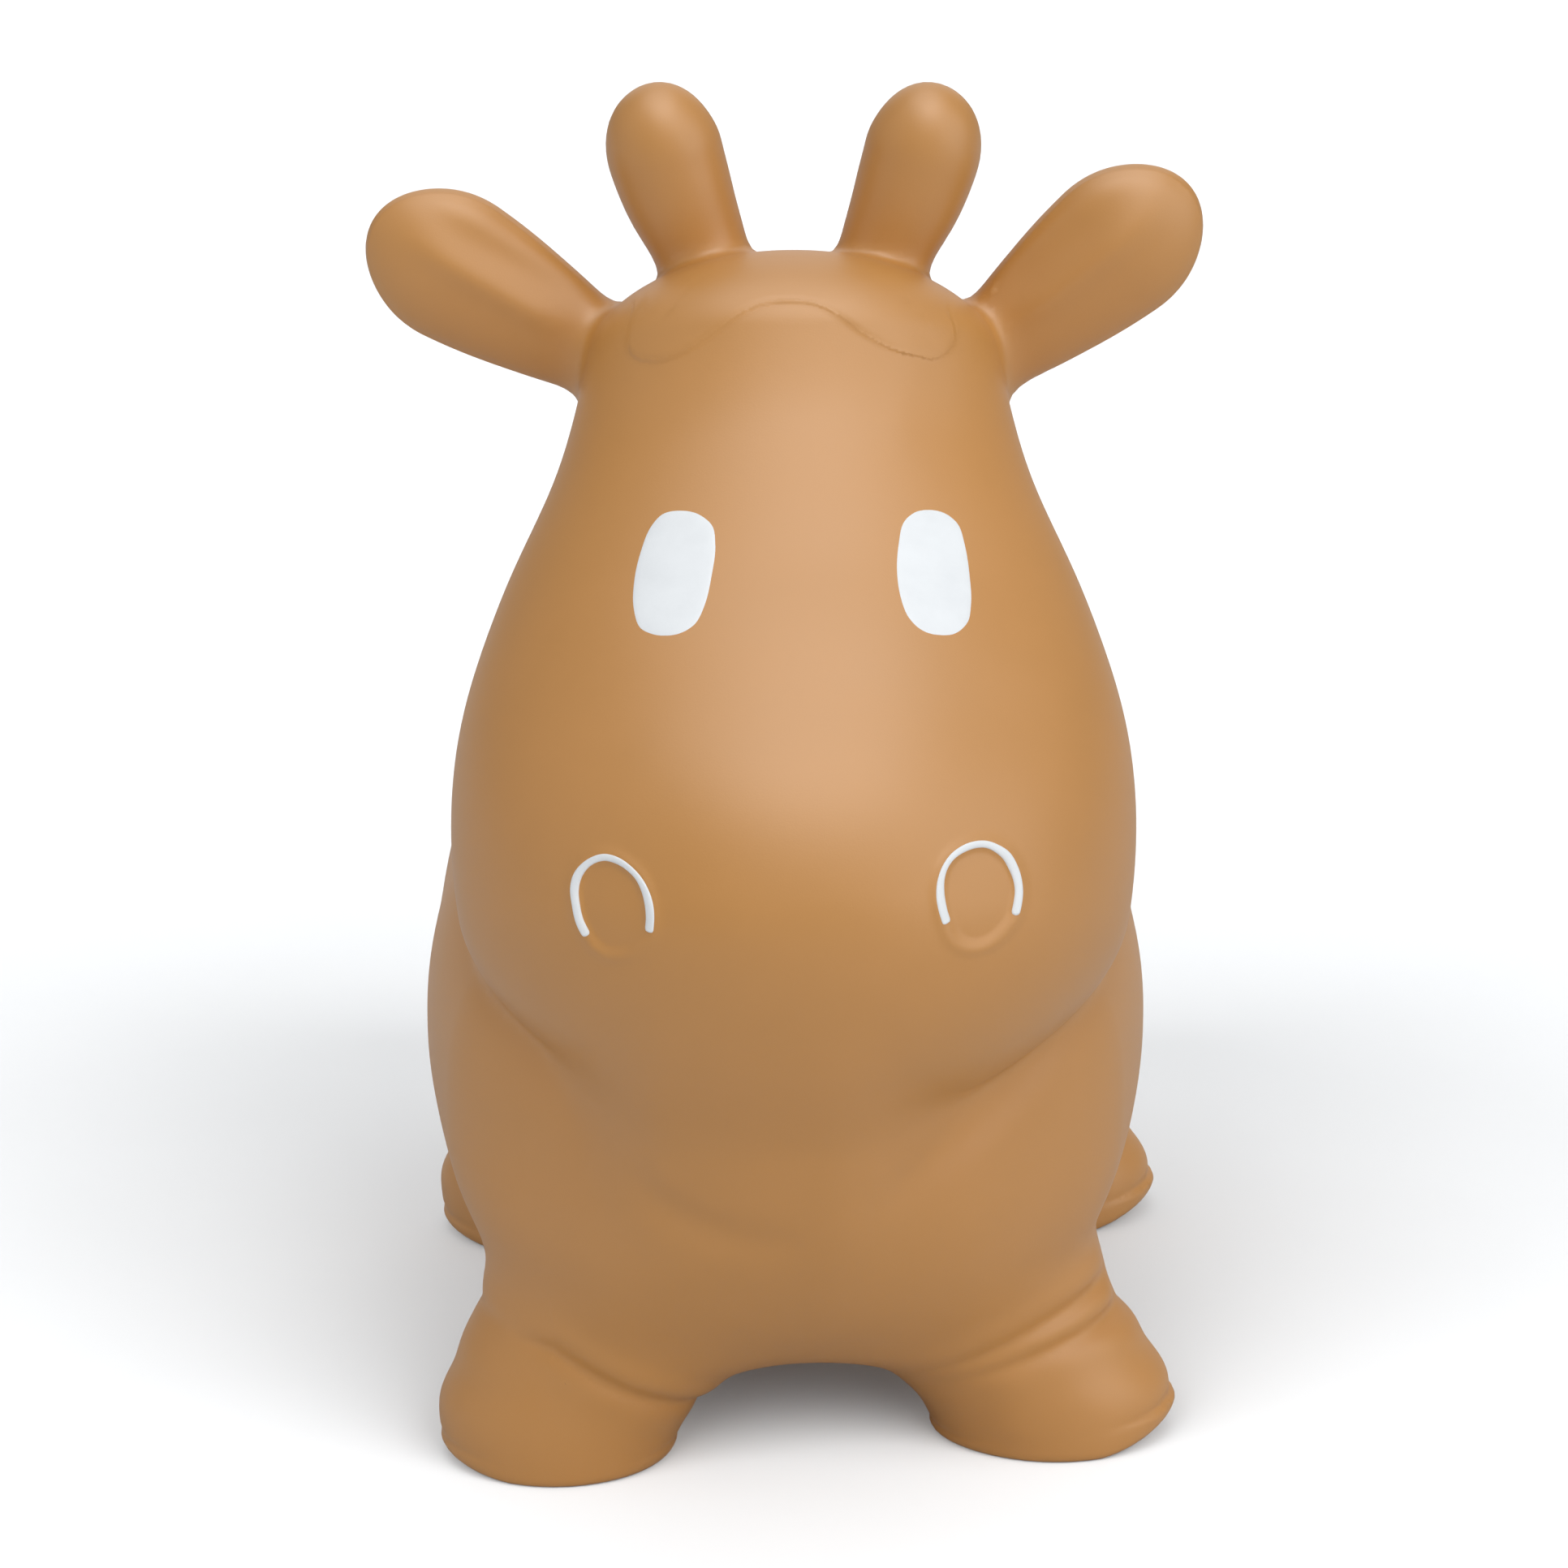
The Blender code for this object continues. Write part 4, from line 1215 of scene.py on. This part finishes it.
caramel_rubber = finish_of("caramel_rubber", ((0.485, 0.2195, 0.0455), (0.515, 0.2340, 0.0525)),
                           9.0, 1400.0, 0.00003, (0.42, 0.48), 1.0)
white_paint = finish_of("white_paint", ((0.74, 0.77, 0.795), (0.78, 0.81, 0.835)),
                        60.0, 900.0, 0.00004, (0.42, 0.55), 0.5)
valve_vinyl = finish_of("valve_vinyl", ((0.66, 0.64, 0.58), (0.73, 0.71, 0.66)),
                        90.0, 1600.0, 0.00003, (0.35, 0.48), 0.5)
floor_paper = finish_of("floor_paper", ((0.47, 0.48, 0.49), (0.49, 0.50, 0.51)),
                        2.0, 500.0, 0.00001, (0.85, 0.95), 0.2)


def coat(thing, material):
    """Give a piece its finish alone."""
    thing.data.materials.clear()
    thing.data.materials.append(material)


def dress(thing, material):
    """Give a piece its finish."""
    coat(thing, material)


points, normals, faces, piece, names = skin_pieces()
for number, name in enumerate(names):
    if name == "valve_hole":
        continue
    part = shell("moulded_" + name, points, normals, faces[piece == number])
    dress(part, caramel_rubber)
    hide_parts(name)
    side = right if name.startswith("right") else left
    if name.endswith("_ear") or name.endswith("_horn"):
        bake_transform(part)
    elif name.endswith("_ankle") or name.endswith("_hoof"):
        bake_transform(part)
    elif name.endswith("_sole"):
        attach(part, name.replace("_sole", "_foot"))
    else:
        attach(part, "body")

for side, eye, nostril, wave in ((right, right_eye_outline, right_nostril_line, right_wave),
                                 (left, left_eye_outline, left_nostril_line, left_wave)):
    name = side_names[side]
    for part, node in ((eye_paint(f"{name}_painted_eye", eye), f"{name}_eye_paint"),
                       (nostril_paint(f"{name}_painted_nostril", nostril, wave), f"{name}_nostril_paint")):
        dress(part, white_paint)
        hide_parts(node)
        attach(part, "body")

for name in ("valve_seat", "valve_plug"):
    coat(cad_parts[name], valve_vinyl)

# The camera stands in front and slightly above
camera_place = (-0.0035, -2.2725, 0.8760)
camera_target = (-0.0035, 0.0075, 0.2222)
camera_lens, camera_film = 141.4, 36
camera = placed("camera", bpy.data.cameras.new("camera"))
camera.data.lens = camera_lens
camera.data.sensor_width = camera_film
camera.location = camera_place
camera.rotation_euler = (Vector(camera_target) - Vector(camera_place)).to_track_quat("-Z", "Y").to_euler()
bpy.context.scene.camera = camera

# Plain white floor
floor_half = 12.0
floor_mesh = bpy.data.meshes.new("floor")
floor_mesh.from_pydata([(x * floor_half, y * floor_half, 0) for x, y in ((-1, -1), (1, -1), (1, 1), (-1, 1))],
                       [], [(0, 1, 2, 3)])
floor = placed("floor", floor_mesh)
coat(floor, floor_paper)

# A little light from all round, and soft light from above, the front, the back and the animal's left, with
# weaker lights from its right and from over the viewer's shoulder
sky_strength = 0.31
world = bpy.data.worlds.new("studio")
bpy.context.scene.world = world
world.use_nodes = True
world.node_tree.nodes["Background"].inputs["Color"].default_value = (1, 1, 1, 1)
world.node_tree.nodes["Background"].inputs["Strength"].default_value = sky_strength


def soft_sun(name, toward, strength, spread):
    """Even light from one direction, as soft as its spread in degrees."""
    light = bpy.data.lights.new(name, "SUN")
    light.energy = strength
    light.angle = math.radians(spread)
    thing = placed(name, light)
    thing.rotation_euler = Vector(toward).to_track_quat("Z", "Y").to_euler()
    return thing


soft_sun("overhead_light", (0, 0, 1), 1.18, 60)
soft_sun("key_light", (0.35, -0.6, 1.0), 0.12, 40)
soft_sun("side_light", (1.0, -0.5, 0.5), 0.92, 60)
# No gloss from the front, where the photograph's rubber is matt
soft_sun("front_light", (0, -1.0, 0.35), 0.90, 50).visible_glossy = False
soft_sun("left_light", (-1.0, -0.3, 0.4), 0.20, 60)
soft_sun("back_light", (0, 1.0, 0.6), 0.46, 60)
# Gloss alone, for the broad pale highlight on the forehead
soft_sun("highlight", (0.12, -0.42, 0.90), 0.62, 42).visible_diffuse = False
# Two low lights on the floor alone, which keep it white up to the feet
low_strength, low_spread = 4.6, 50
floor_only = bpy.data.collections.new("floor_only")
floor_only.objects.link(floor)
for name, toward in (("low_right_light", (0.7, -1.0, 0.6)), ("low_left_light", (-0.7, -1.0, 0.6))):
    low_light = soft_sun(name, toward, low_strength, low_spread)
    low_light.light_linking.receiver_collection = floor_only
    low_light.data.cycles.max_bounces = 0

bpy.context.scene.view_settings.view_transform = "Standard"
bpy.context.view_layer.update()
